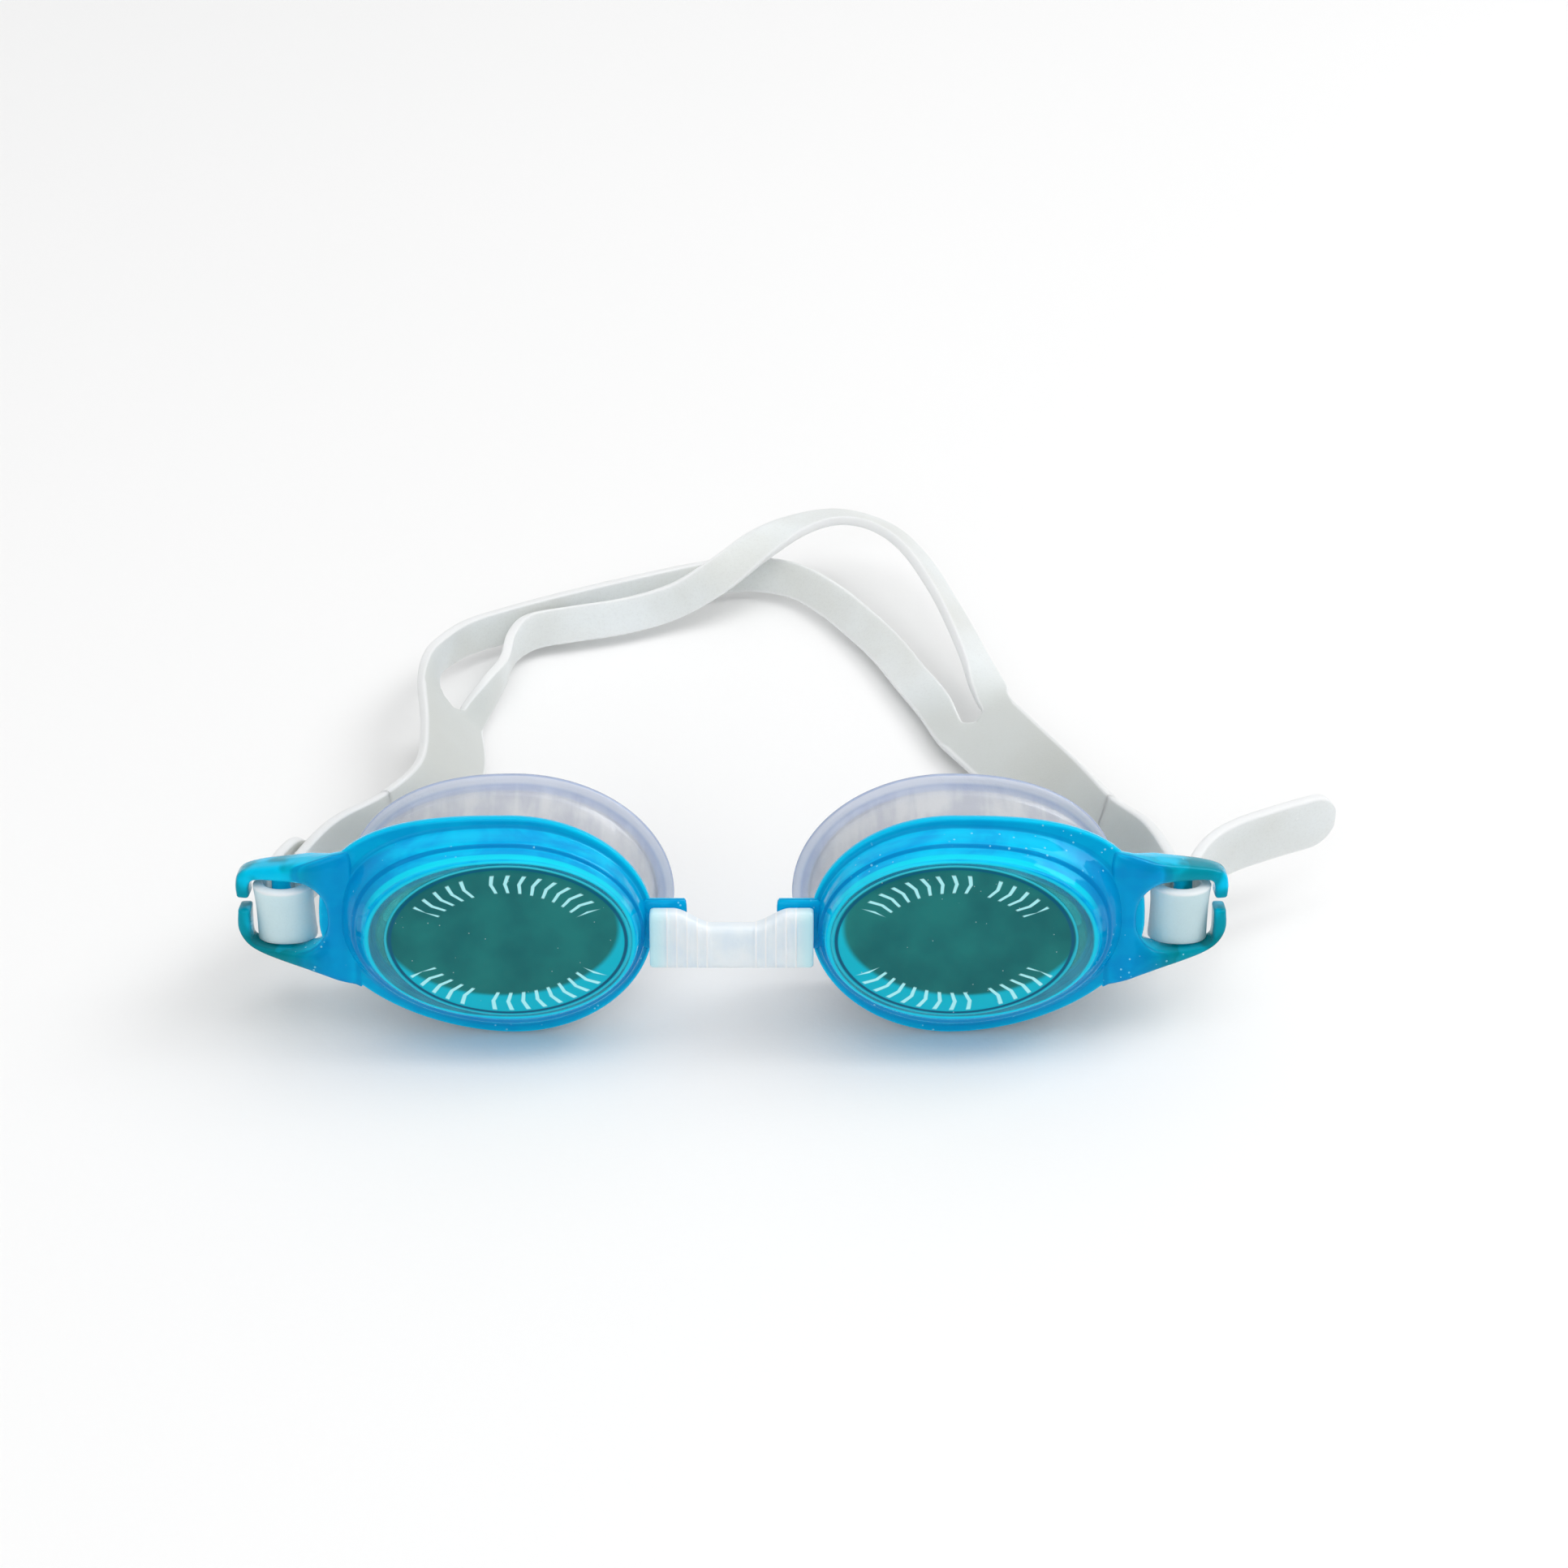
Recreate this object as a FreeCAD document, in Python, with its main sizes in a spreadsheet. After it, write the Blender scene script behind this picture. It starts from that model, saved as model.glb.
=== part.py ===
import FreeCAD, Part
import math
import os
from FreeCAD import Placement, Rotation, Vector

# Swim goggles with two clear one-piece eyecups, soft seals, a clip-in nose bridge and a split head strap.
# The finished part stands on a table on the lower edges of its cups, with the lenses facing -Y.
# Each cup is drawn in its own frame: origin at the middle of the lens's front face, +X towards the
# temple, +Y back towards the face and +Z up. The right-hand cup (+X side) is drawn and the left mirrors it.

document = FreeCAD.newDocument("SwimGoggles")
sheet = document.addObject("Spreadsheet::Sheet", "Sizes")

# Name, value in millimetres or degrees, and what it is. An outline is an egg of four quarters:
# "nose" and "temple" are its reaches along X, "top" and "bottom" its reaches along Z.
DRIVING_SIZES = [
    ("lens_spacing", 68.8, "between the middles of the lenses"),
    ("rest_tilt", 16.0, "how far the lenses lean back when the goggles stand"),
    ("origin_x", 0.0, "middle of the whole part's box, found below"),
    ("origin_y", 0.0, "middle of the whole part's box, found below"),
    ("lens_nose", 20.0, "front face of the cup"),
    ("lens_temple", 22.4, "front face of the cup"),
    ("lens_top", 13.2, "front face of the cup"),
    ("lens_bottom", 13.4, "front face of the cup"),
    ("lens_thickness", 2.0, "flat lens wall"),
    ("cup_wall", 1.6, "side wall of the cup"),
    ("flare_nose", 1.0, "how far the side wall spreads from the lens to the flange"),
    ("flare_temple", 4.0, "how far the side wall spreads from the lens to the flange"),
    ("flare_top", 2.5, "how far the side wall spreads from the lens to the flange"),
    ("flare_bottom", 3.4, "how far the side wall spreads from the lens to the flange"),
    ("wall_nose", "=lens_nose + flare_nose", "side wall where it meets the flange"),
    ("wall_temple", "=lens_temple + flare_temple", "side wall where it meets the flange"),
    ("wall_top", "=lens_top + flare_top", "side wall where it meets the flange"),
    ("wall_bottom", "=lens_bottom + flare_bottom", "side wall where it meets the flange"),
    ("rim_nose", 1.2, "width of the flange beyond the side wall"),
    ("rim_temple", 3.6, "width of the flange beyond the side wall"),
    ("rim_upright", 1.85, "width of the flange beyond the side wall, above and below"),
    ("flange_nose", "=wall_nose + rim_nose", "rear flange outline"),
    ("flange_temple", "=wall_temple + rim_temple", "rear flange outline"),
    ("flange_top", "=wall_top + rim_upright", "rear flange outline"),
    ("flange_bottom", "=wall_bottom + rim_upright", "rear flange outline"),
    ("flange_front", 7.0, "depth of the flange's front face"),
    ("flange_thickness", 1.6, "flange plate"),
    ("arm_length", 13.1, "from the flange's edge to the outer end of the strap fork"),
    ("arm_reach", "=flange_temple + arm_length", "from the lens's middle to the outer end of the strap fork"),
    ("arm_middle", 0.9, "height of the fork's middle over the lens's middle"),
    ("fork_front", 9.2, "depth of the fork's front face at its outer end"),
    ("fork_depth", 4.4, "fork thickness, front to back"),
    ("fork_slack", 0.75, "gap between the strap's edge and the fork's opening"),
    ("fork_half_opening", "=strap_end_width / 2 + fork_slack", "half the height of the fork's opening"),
    ("fork_opening_length", 14.5, "fork's opening, with its outer hooks"),
    ("fork_hook", 2.1, "thickness of the fork's two outer hooks"),
    ("hook_gap", 2.3, "gap between the hooks that the strap is slipped in through"),
    ("post_radius", 1.5, "post that the strap turns round"),
    ("post_inset", 6.9, "from the fork's outer end to the post's middle"),
    ("post_reach", "=arm_reach - post_inset", "from the lens's middle to the post"),
    ("post_depth", 11.0, "depth of the post's middle"),
    ("lug_length", 5.2, "nose lug beyond the flange's edge"),
    ("lug_reach", "=flange_nose + lug_length", "from the lens's middle to the tip of the nose lug"),
    ("lug_half_height", 4.1, "nose lug plate"),
    ("lug_lead", 0.8, "how far the lug's front face stands before the flange's"),
    ("lug_tip_radius", 2.4, "round tip of the nose lug, cut to the plate's thickness"),
    ("lug_thickness", 1.8, "nose lug plate"),
    ("peg_radius", 1.4, "snap peg on the nose lug"),
    ("peg_length", 1.8, "snap peg on the nose lug"),
    ("peg_inset", 2.8, "from the lug's tip to the peg's middle"),
    ("film_margin_side", 0.9, "lens left bare beside the film, on the nose side"),
    ("film_margin_top", 0.7, "lens left bare above the film"),
    ("film_half_width", "=lens_nose - film_margin_side", "oval protective film"),
    ("film_half_height", "=lens_top - film_margin_top", "oval protective film"),
    ("film_thickness", 0.3, "oval protective film"),
    ("seal_depth", 12.6, "soft seal, from the flange to its rim"),
    ("seal_wall", 1.5, "soft seal wall"),
    ("seal_inset", 1.4, "flange edge left bare round the seal's foot"),
    ("seal_temple_inset", 2.6, "more bare flange at the temple, where the strap's arm starts"),
    ("seal_rim_draw", 1.6, "how far the rim lies within the foot at the temple"),
    ("seal_rim_rise", 2.4, "how far the rim stands above the flange at the top"),
    ("seal_rim_nose", "=flange_nose + 2 * seal_inset", "soft seal rim outline"),
    ("seal_rim_temple", "=flange_temple - seal_inset - seal_rim_draw", "soft seal rim outline"),
    ("seal_rim_top", "=flange_top + seal_rim_rise", "soft seal rim outline"),
    ("seal_rim_lip", 3.2, "width of the seal's flat rim"),
    ("seal_rim_thickness", 1.4, "seal's flat rim"),
    ("seal_waist", 1.2, "how far the seal draws in between its foot and its rim"),
    ("bridge_wall_gap", 0.5, "from each cup's side wall to the space that the bridge fills"),
    ("bridge_gap", "=lens_spacing - 2 * wall_nose - 2 * bridge_wall_gap", "open width between the cups"),
    ("bridge_end_top", 3.4, "bridge top edge at its ends"),
    ("bridge_middle_top", 1.0, "bridge top edge in its middle"),
    ("bridge_dip_half", 3.0, "half the width of the bridge's low middle"),
    ("bridge_dip_slope", 6.2, "width of each slope up to the bridge's level ends"),
    ("bridge_bottom", 6.0, "bridge bottom edge"),
    ("bridge_thickness", 3.4, "bridge, front to back"),
    ("bridge_rib_radius", 0.55, "half-round ribs on the bridge's front"),
    ("fit_gap", 0.2, "running gap between the bridge and the cups"),
    ("strap_thickness", 1.8, "head strap"),
    ("strap_end_width", 9.7, "head strap where it passes the forks"),
    ("strap_band_width", 6.7, "each of the two bands"),
    ("strap_slot_start", 2.0, "width of the slot between the bands where it starts"),
    ("strap_wide_width", "=2 * strap_band_width + strap_slot_start", "head strap where it splits in two"),
    ("strap_post_gap", 0.5, "slack between the strap and its post"),
    ("strap_turn_radius", 3.7, "middle of the strap where it turns round its post"),
]
cell_of = {}
for row, (alias, value, meaning) in enumerate(DRIVING_SIZES, start=1):
    cell_of[alias] = f"B{row}"
    sheet.set(f"A{row}", alias)
    sheet.set(cell_of[alias], str(value))
    sheet.set(f"C{row}", meaning)
    sheet.setAlias(cell_of[alias], alias)
document.recompute()


def size(alias):
    """The value of one named size."""
    return float(sheet.get(alias))


def bound(kind, name, **expressions):
    """A document object whose properties are bound to expressions on the sheet."""
    made = document.addObject(kind, name)
    for path, expression in expressions.items():
        made.setExpression(path.replace("__", "."), expression)
    return made


def shaped(name, shape):
    """A document object that holds a shape worked out by a function below."""
    made = document.addObject("Part::Feature", name)
    made.Shape = shape
    return made


def joined(name, *pieces):
    """One solid from several overlapping ones."""
    made = document.addObject("Part::MultiFuse", name)
    made.Shapes = list(pieces)
    made.Refine = False
    return made


def cut(name, base, tool):
    """The base with the tool taken away."""
    made = document.addObject("Part::Cut", name)
    made.Base = base
    made.Tool = tool
    return made


def egg(depth, nose, temple, top, bottom, top_corner, bottom_corner, nose_corner=2.0,
        middle_x=0.0, middle_z=0.0):
    """Closed outline across Y made of four superellipse quarters that meet squarely.

    A corner is a quarter's exponent: 2 is a plain ellipse, and a larger one is squarer. The two
    quarters on the nose side share one, and the two on the temple side have one each."""
    count = 40
    points = []
    for step in range(count):
        angle = 2.0 * math.pi * step / count
        along, up = math.cos(angle), math.sin(angle)
        power = nose_corner if along < 0 else (top_corner if up >= 0 else bottom_corner)
        reach_x = temple if along >= 0 else nose
        reach_z = top if up >= 0 else bottom
        x = reach_x * math.copysign(abs(along) ** (2.0 / power), along)
        z = reach_z * math.copysign(abs(up) ** (2.0 / power), up)
        points.append(Vector(middle_x + x, depth, middle_z + z))
    curve = Part.BSplineCurve()
    curve.interpolate(points, PeriodicFlag=True)
    return Part.Wire([curve.toShape()])


def lofted(outlines):
    """Closed solid through outlines that lie one behind the other."""
    return Part.makeLoft(outlines, True, False)


def prism(points, direction):
    """Solid from a closed outline of points, pushed along a direction."""
    return Part.Face(Part.makePolygon(points + points[:1])).extrude(direction)


# Eyecup: clear polycarbonate moulded in one piece, with its lens, side wall, rear flange,
# strap fork and nose lug.
flange_back = size("flange_front") + size("flange_thickness")


def cup_outline(depth, level, inset, corners, temple_inset=0.0):
    """One outline of the cup, the lens's, the side wall's or the flange's, drawn in all round."""
    reaches = [size(f"{level}_{end}") - inset for end in ("nose", "temple", "top", "bottom")]
    reaches[1] -= temple_inset
    return egg(depth, *reaches, *corners)


# How square the outlines are at the temple: above, and below.
LENS_CORNERS, WALL_CORNERS, FLANGE_CORNERS = (2.2, 2.0), (2.6, 1.95), (2.8, 1.85)
INNER_LENS_CORNERS, INNER_WALL_CORNERS = (2.1, 1.95), (2.3, 1.9)
edge_round = 0.4
outer_wall = lofted([
    cup_outline(0.0, "lens", edge_round, LENS_CORNERS),
    cup_outline(edge_round, "lens", 0.0, LENS_CORNERS),
    cup_outline(size("flange_front"), "wall", 0.0, WALL_CORNERS),
])
flange_outline = cup_outline(size("flange_front"), "flange", 0.0, FLANGE_CORNERS)
flange = Part.Face(flange_outline).extrude(Vector(0, size("flange_thickness"), 0))
wall = size("cup_wall")
cavity = lofted([
    cup_outline(size("lens_thickness"), "lens", wall, INNER_LENS_CORNERS),
    cup_outline(flange_back + 1.0, "wall", wall, INNER_WALL_CORNERS, 1.0),
])

# The arm is what two outlines share: its face seen from the front and its slant seen from above.
reach = size("arm_reach")
middle = size("arm_middle")
half_fork = size("fork_half_opening") + size("fork_hook")
fork_back = size("fork_front") + size("fork_depth")
arm_face = prism([
    Vector(size("lens_temple") - 4.0, -5.0, size("wall_top") - 2.6),
    Vector(size("flange_temple") - 1.0, -5.0, middle + half_fork + 2.1),
    Vector(reach - 7.0, -5.0, middle + half_fork + 0.5),
    Vector(reach - 2.0, -5.0, middle + half_fork - 0.4),
    Vector(reach - 0.4, -5.0, middle + half_fork - 1.6),
    Vector(reach, -5.0, middle + half_fork - 3.4),
    Vector(reach, -5.0, middle - half_fork + 5.5),
    Vector(reach - 1.3, -5.0, middle - half_fork + 2.8),
    Vector(reach - 5.6, -5.0, middle - half_fork),
    Vector(size("flange_temple") - 1.3, -5.0, middle - half_fork - 2.3),
    Vector(size("lens_temple") - 4.0, -5.0, 3.4 - size("wall_bottom")),
], Vector(0, 30.0, 0))
arm_plan = prism([
    Vector(size("lens_temple") - 5.0, 3.2, -30.0),
    Vector(size("lens_temple") + 1.6, 3.5, -30.0),
    Vector(size("flange_temple") - 1.0, size("fork_front") - 3.8, -30.0),
    Vector(reach - 7.2, size("fork_front") - 1.6, -30.0),
    Vector(reach + 1.0, size("fork_front"), -30.0),
    Vector(reach + 1.0, fork_back - 0.2, -30.0),
    Vector(reach - 5.0, fork_back, -30.0),
    Vector(size("flange_temple") + 1.6, fork_back - 1.0, -30.0),
    Vector(size("flange_temple") - 2.4, flange_back, -30.0),
    Vector(size("lens_temple") - 5.0, flange_back, -30.0),
], Vector(0, 0, 60.0))
arm = arm_face.common(arm_plan)
opening_middle = reach - size("fork_opening_length") + 7.0
opening_end = reach - size("fork_hook") - opening_middle
half_opening = size("fork_half_opening")


def opening_outline(depth, nose, spread, nose_corner):
    """One outline of the fork's opening: square at its outer end, rounder towards the lens."""
    return egg(depth, nose, opening_end, half_opening + spread, half_opening + spread, 9.0, 9.0, nose_corner,
               opening_middle, middle)


fork_opening = lofted([
    opening_outline(0.0, 10.4, 1.2, 2.2),
    opening_outline(size("fork_front"), 7.6, 0.2, 3.0),
    opening_outline(fork_back + 4.0, 7.0, 0.0, 3.6),
])
cup_outside = joined("CupOutside", shaped("CupWall", outer_wall), shaped("CupFlange", flange),
                     shaped("CupArm", arm))
cup_hollow = cut("CupHollow", cup_outside, shaped("CupCavity", cavity))
cup_forked = cut("CupForked", cup_hollow, shaped("ForkOpening", fork_opening))
hook_slot = bound("Part::Box", "HookSlot", Length="Sizes.fork_hook + 3", Width="Sizes.fork_depth + 8",
                  Height="Sizes.hook_gap", Placement__Base__x="Sizes.arm_reach - Sizes.fork_hook - 1.5",
                  Placement__Base__y="Sizes.fork_front - 4", Placement__Base__z="Sizes.arm_middle + 0.3")
cup_slotted = cut("CupSlotted", cup_forked, hook_slot)
post = bound("Part::Cylinder", "StrapPost", Radius="Sizes.post_radius",
             Height="2 * Sizes.fork_half_opening + 1.6", Placement__Base__x="Sizes.post_reach",
             Placement__Base__y="Sizes.post_depth",
             Placement__Base__z="Sizes.arm_middle - Sizes.fork_half_opening - 0.8")

# Nose lug: a plate with a round tip that lies behind the bridge's end, and the snap peg on it.
lug_plate = bound("Part::Box", "LugPlate",
                  Length="Sizes.lug_length - Sizes.lug_tip_radius + 2 * Sizes.rim_nose",
                  Width="Sizes.lug_thickness", Height="2 * Sizes.lug_half_height",
                  Placement__Base__x="Sizes.lug_tip_radius - Sizes.lug_reach",
                  Placement__Base__y="Sizes.flange_front - Sizes.lug_lead",
                  Placement__Base__z="-Sizes.lug_half_height")
lug_tip = bound("Part::Cylinder", "LugTip", Radius="Sizes.lug_tip_radius", Height="2 * Sizes.lug_half_height",
                Placement__Base__x="Sizes.lug_tip_radius - Sizes.lug_reach",
                Placement__Base__y="Sizes.flange_front - Sizes.lug_lead + Sizes.lug_thickness / 2",
                Placement__Base__z="-Sizes.lug_half_height")
lug_slab = bound("Part::Box", "LugSlab", Length="2 * Sizes.lug_tip_radius", Width="Sizes.lug_thickness",
                 Height="2 * Sizes.lug_half_height", Placement__Base__x="-Sizes.lug_reach",
                 Placement__Base__y="Sizes.flange_front - Sizes.lug_lead",
                 Placement__Base__z="-Sizes.lug_half_height")
lug_end = document.addObject("Part::Common", "LugEnd")
lug_end.Base = lug_tip
lug_end.Tool = lug_slab
peg = bound("Part::Cylinder", "SnapPeg", Radius="Sizes.peg_radius", Height="Sizes.peg_length + 0.5",
            Placement__Base__x="Sizes.peg_inset - Sizes.lug_reach",
            Placement__Base__y="Sizes.flange_front - Sizes.lug_lead + 0.5")
peg.Placement.Rotation = Rotation(Vector(1, 0, 0), 90)
eyecup_right = joined("eyecup_right", cup_slotted, post, lug_plate, lug_end, peg)


def cup_point(x, y, z):
    """A point of the right cup's frame, as it stands on the table."""
    return standing.multVec(Vector(x, y, z))


# Rest pose: the flange's lower back edge and the seal's lower rim both touch the table.
tilt = math.radians(size("rest_tilt"))
lens_height = flange_back * math.sin(tilt) + size("flange_bottom") * math.cos(tilt)
seal_back = flange_back + size("seal_depth")
seal_rim_bottom = (lens_height - seal_back * math.sin(tilt)) / math.cos(tilt)
standing = Placement(Vector(size("lens_spacing") / 2, 0, lens_height),
                     Rotation(Vector(1, 0, 0), -size("rest_tilt")))

# Soft seal: silicone, a thin ring wall with a flared rim that rests on the face.
inset, waist, seal_wall = size("seal_inset"), size("seal_waist"), size("seal_wall")
rim_lip, rim_front = size("seal_rim_lip"), seal_back - size("seal_rim_thickness")


def seal_outline(depth, nose, temple, top, bottom, shrink):
    """One outline of the seal, drawn in by the same amount all round."""
    return egg(depth, nose - shrink, temple - shrink, top - shrink, bottom - shrink, 2.3, 2.1)


foot = (size("flange_nose") - inset, size("flange_temple") - inset - size("seal_temple_inset"),
        size("flange_top") - inset, size("flange_bottom") - inset)
rim = (size("seal_rim_nose"), size("seal_rim_temple"), size("seal_rim_top"), seal_rim_bottom)
neck = tuple((low + high) / 2 - waist for low, high in zip(foot, rim))
seal_outside = lofted([
    seal_outline(flange_back, *foot, 0.0),
    seal_outline(flange_back + 0.45 * size("seal_depth"), *neck, 0.0),
    seal_outline(rim_front, *rim, rim_lip - seal_wall),
])
seal_inside = lofted([
    seal_outline(flange_back - 0.5, *foot, seal_wall),
    seal_outline(flange_back + 0.45 * size("seal_depth"), *neck, seal_wall),
    seal_outline(seal_back + 0.5, *rim, rim_lip),
])
seal_rim = Part.Face(seal_outline(rim_front, *rim, 0.0)).extrude(Vector(0, size("seal_rim_thickness"), 0))
seal_body = joined("SealBody", shaped("SealWall", seal_outside), shaped("SealRim", seal_rim))
gasket_right = cut("gasket_right", seal_body, shaped("SealInside", seal_inside))

# Protective film: a thin oval sheet stuck on the front of each new lens.
film_outline = bound("Part::Ellipse", "FilmOutline", MajorRadius="Sizes.film_half_width",
                     MinorRadius="Sizes.film_half_height")
film_outline.Placement = Placement(Vector(0, 0, 0), Rotation(Vector(1, 0, 0), 90))
film_right = bound("Part::Extrusion", "protective_film_right", LengthFwd="Sizes.film_thickness")
film_right.Base = film_outline
film_right.DirMode = "Custom"
film_right.Dir = Vector(0, -1, 0)
film_right.Solid = True

# Nose bridge: soft ribbed silicone bar whose two ends snap on the pegs of the cups' lugs.
half_gap = size("bridge_gap") / 2 - size("fit_gap")
lug_front = size("flange_front") - size("lug_lead")
bridge_back = lug_front - size("fit_gap")
bridge_front = bridge_back - size("bridge_thickness")


def bridge_top(x):
    """Height of the bridge's top edge: level at its ends, dipping smoothly to a low middle."""
    share = min(max((abs(x) - size("bridge_dip_half")) / size("bridge_dip_slope"), 0.0), 1.0)
    blend = share * share * (3.0 - 2.0 * share)
    return size("bridge_middle_top") + (size("bridge_end_top") - size("bridge_middle_top")) * blend


top_curve = Part.BSplineCurve()
top_curve.interpolate([Vector(half_gap * step / 12, bridge_front, bridge_top(half_gap * step / 12))
                       for step in range(-12, 13)])
end_top, end_bottom = size("bridge_end_top"), -size("bridge_bottom")
bridge_edges = [top_curve.toShape()]
bridge_corners = [Vector(x, bridge_front, z) for x, z in (
    (half_gap, end_top), (half_gap, end_bottom), (-half_gap, end_bottom), (-half_gap, end_top))]
for start, end in zip(bridge_corners, bridge_corners[1:]):
    bridge_edges.append(Part.makeLine(start, end))
bridge_bar = Part.Face(Part.Wire(bridge_edges)).extrude(Vector(0, size("bridge_thickness"), 0))
RIBS_PER_SIDE = 4
rib_radius = size("bridge_rib_radius")
rib_sunk = 0.15
for side in (-1, 1):
    for number in range(RIBS_PER_SIDE):
        rib_x = side * (0.4 + 0.13 * number) * half_gap
        rib_height = bridge_top(rib_x) - end_bottom - 2 * rib_radius
        rib_foot = Vector(rib_x, bridge_front + rib_sunk, end_bottom + rib_radius)
        rib = Part.makeCylinder(rib_radius, rib_height, rib_foot)
        bridge_bar = bridge_bar.fuse(rib)
    peg_x = side * (size("lens_spacing") / 2 - size("lug_reach") + size("peg_inset"))
    peg_hole = Part.makeCylinder(size("peg_radius") + size("fit_gap"), size("peg_length") + size("fit_gap"),
                                 Vector(peg_x, bridge_back, 0), Vector(0, -1, 0))
    bridge_bar = bridge_bar.cut(peg_hole)
nose_bridge = shaped("nose_bridge", bridge_bar)

# Head strap: one flat silicone moulding. Each end turns forwards round the post of its fork and
# leaves a free tail; the middle is split into two bands that lie apart, one crossing over the other.
# A station is (x, y, z, width, lean): a point on the strap's middle line as it lies on the table, its
# width there, and how far its upper edge leans out from upright, in degrees.
end_width, wide, band = size("strap_end_width"), size("strap_wide_width"), size("strap_band_width")
RIGHT_ARM = [
    (66.8, 30.5, 14.8, end_width, 8), (60.6, 41.0, 11.6, end_width + 1.0, 28),
    (54.5, 54.0, 8.6, end_width + 3.0, 48), (48.4, 68.0, 5.8, wide - 1.0, 62), (42.2, 80.8, 4.4, wide, 70),
]
BAND_LOW = [
    (38.2, 79.3, 3.2, band, 70), (34.8, 88.8, 2.9, band, 68), (30.8, 98.0, 2.8, band, 66),
    (27.0, 106.5, 3.0, band, 60), (22.6, 114.0, 3.2, band, 50), (16.8, 122.5, 3.4, band, 42),
    (10.0, 129.0, 3.6, band, 34), (1.0, 131.2, 3.7, band, 24), (-8.0, 128.6, 4.0, band, 14),
    (-17.0, 125.0, 4.2, band, 8), (-31.5, 118.6, 4.3, band, 6), (-42.6, 112.4, 4.6, band, 10),
    (-49.6, 106.6, 5.6, band, 4), (-53.2, 98.6, 7.2, band, 0), (-54.0, 91.0, 8.8, band, 18),
    (-53.2, 80.6, 9.8, band, 40),
]
BAND_HIGH = [
    (46.2, 81.8, 5.8, band, 72), (43.6, 89.4, 6.0, band, 80), (41.4, 96.4, 6.9, band, 100),
    (39.2, 104.5, 8.4, band, 118), (36.6, 114.0, 10.0, band, 130), (32.4, 126.0, 11.4, band, 128),
    (26.6, 134.0, 12.2, band, 118), (18.8, 137.2, 12.6, band, 108), (11.0, 134.8, 12.4, band, 98),
    (3.6, 129.2, 11.4, band, 74), (-4.0, 123.0, 8.6, band, 44), (-12.0, 119.0, 5.6, band, 20),
    (-21.0, 115.8, 4.4, band, 26), (-31.0, 113.2, 4.2, band, 32), (-38.0, 110.8, 4.2, band, 22),
    (-41.8, 105.4, 4.3, band, 0), (-43.4, 97.0, 4.4, band, -4), (-45.8, 89.8, 4.6, band, 14),
    (-47.8, 80.2, 4.4, band, 40),
]
LEFT_ARM = [
    (-50.6, 81.6, 7.0, wide, 40), (-48.9, 67.5, 8.2, wide - 0.8, 42), (-50.2, 53.0, 10.2, end_width + 2.6, 34),
    (-56.8, 41.0, 12.6, end_width + 0.8, 18), (-65.0, 31.0, 14.8, end_width, 6),
]
RIGHT_TAIL = [
    (73.5, 20.6, 15.9, end_width, 0), (76.6, 26.4, 15.6, end_width, 0), (81.2, 30.8, 15.4, end_width, 0),
    (88.0, 34.8, 15.1, end_width, 0), (94.0, 37.8, 14.9, end_width - 0.4, 0),
    (97.0, 39.2, 14.8, end_width - 2.4, 0), (98.6, 40.0, 14.8, end_width - 5.6, 0),
]
LEFT_TAIL = [
    (-72.5, 21.0, 15.8, end_width, 0), (-71.2, 24.8, 15.4, end_width - 0.6, 0),
    (-69.8, 27.6, 15.2, end_width - 2.6, 0), (-68.8, 29.2, 15.1, end_width - 5.6, 0),
]
SPANS_BETWEEN_STATIONS = 4
# The stations are drawn for the first adult size. Where the posts stand further out or higher, the strap's
# middle line is stretched with them.
DRAWN_POST_REACH, DRAWN_POST_HEIGHT = 70.6, 18.13
strap_thick = size("strap_thickness")
post_place = cup_point(size("post_reach"), size("post_depth"), size("arm_middle"))
stretch_x, stretch_z = post_place.x / DRAWN_POST_REACH, post_place.z / DRAWN_POST_HEIGHT
RIGHT_ARM, BAND_LOW, BAND_HIGH, LEFT_ARM, RIGHT_TAIL, LEFT_TAIL = (
    [(x * stretch_x, y, z * stretch_z, width, lean) for x, y, z, width, lean in stations]
    for stations in (RIGHT_ARM, BAND_LOW, BAND_HIGH, LEFT_ARM, RIGHT_TAIL, LEFT_TAIL))


def smooth_stations(stations):
    """More stations on the smooth cubic through the given ones (its slope at each is from its neighbours)."""
    ends = [stations[0]] + list(stations) + [stations[-1]]
    dense = []
    for before, start, end, after in zip(ends, ends[1:], ends[2:], ends[3:]):
        for step in range(SPANS_BETWEEN_STATIONS):
            t = step / SPANS_BETWEEN_STATIONS
            dense.append(tuple(
                0.5 * (2 * b + (c - a) * t + (2 * a - 5 * b + 4 * c - d) * t ** 2
                       + (3 * b - a - 3 * c + d) * t ** 3)
                for a, b, c, d in zip(before, start, end, after)))
    return dense + [tuple(stations[-1])]


def ribbon(stations, thickness):
    """Closed solid of a flat strap that follows its stations with its own width and lean at each."""
    points = [Vector(*station[:3]) for station in stations]
    sections = []
    for number, station in enumerate(stations):
        ahead = points[min(number + 1, len(points) - 1)]
        behind = points[max(number - 1, 0)]
        along = (ahead - behind).normalize()
        upright = (Vector(0, 0, 1) - along * along.z).normalize()
        outward = along.cross(upright)
        lean = math.radians(station[4])
        across = (upright * math.cos(lean) + outward * math.sin(lean)) * (station[3] / 2)
        through = along.cross(across).normalize() * (thickness / 2)
        middle_point = points[number]
        corners = [middle_point + across + through, middle_point + across - through,
                   middle_point - across - through, middle_point - across + through]
        sections.append(Part.makePolygon(corners + corners[:1]))
    return Part.makeLoft(sections, True, True)


turn = size("strap_turn_radius")
turn_x = size("post_reach") - 0.4
turn_depth = size("post_depth") - size("post_radius") - size("strap_post_gap") - strap_thick / 2 + turn


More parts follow.
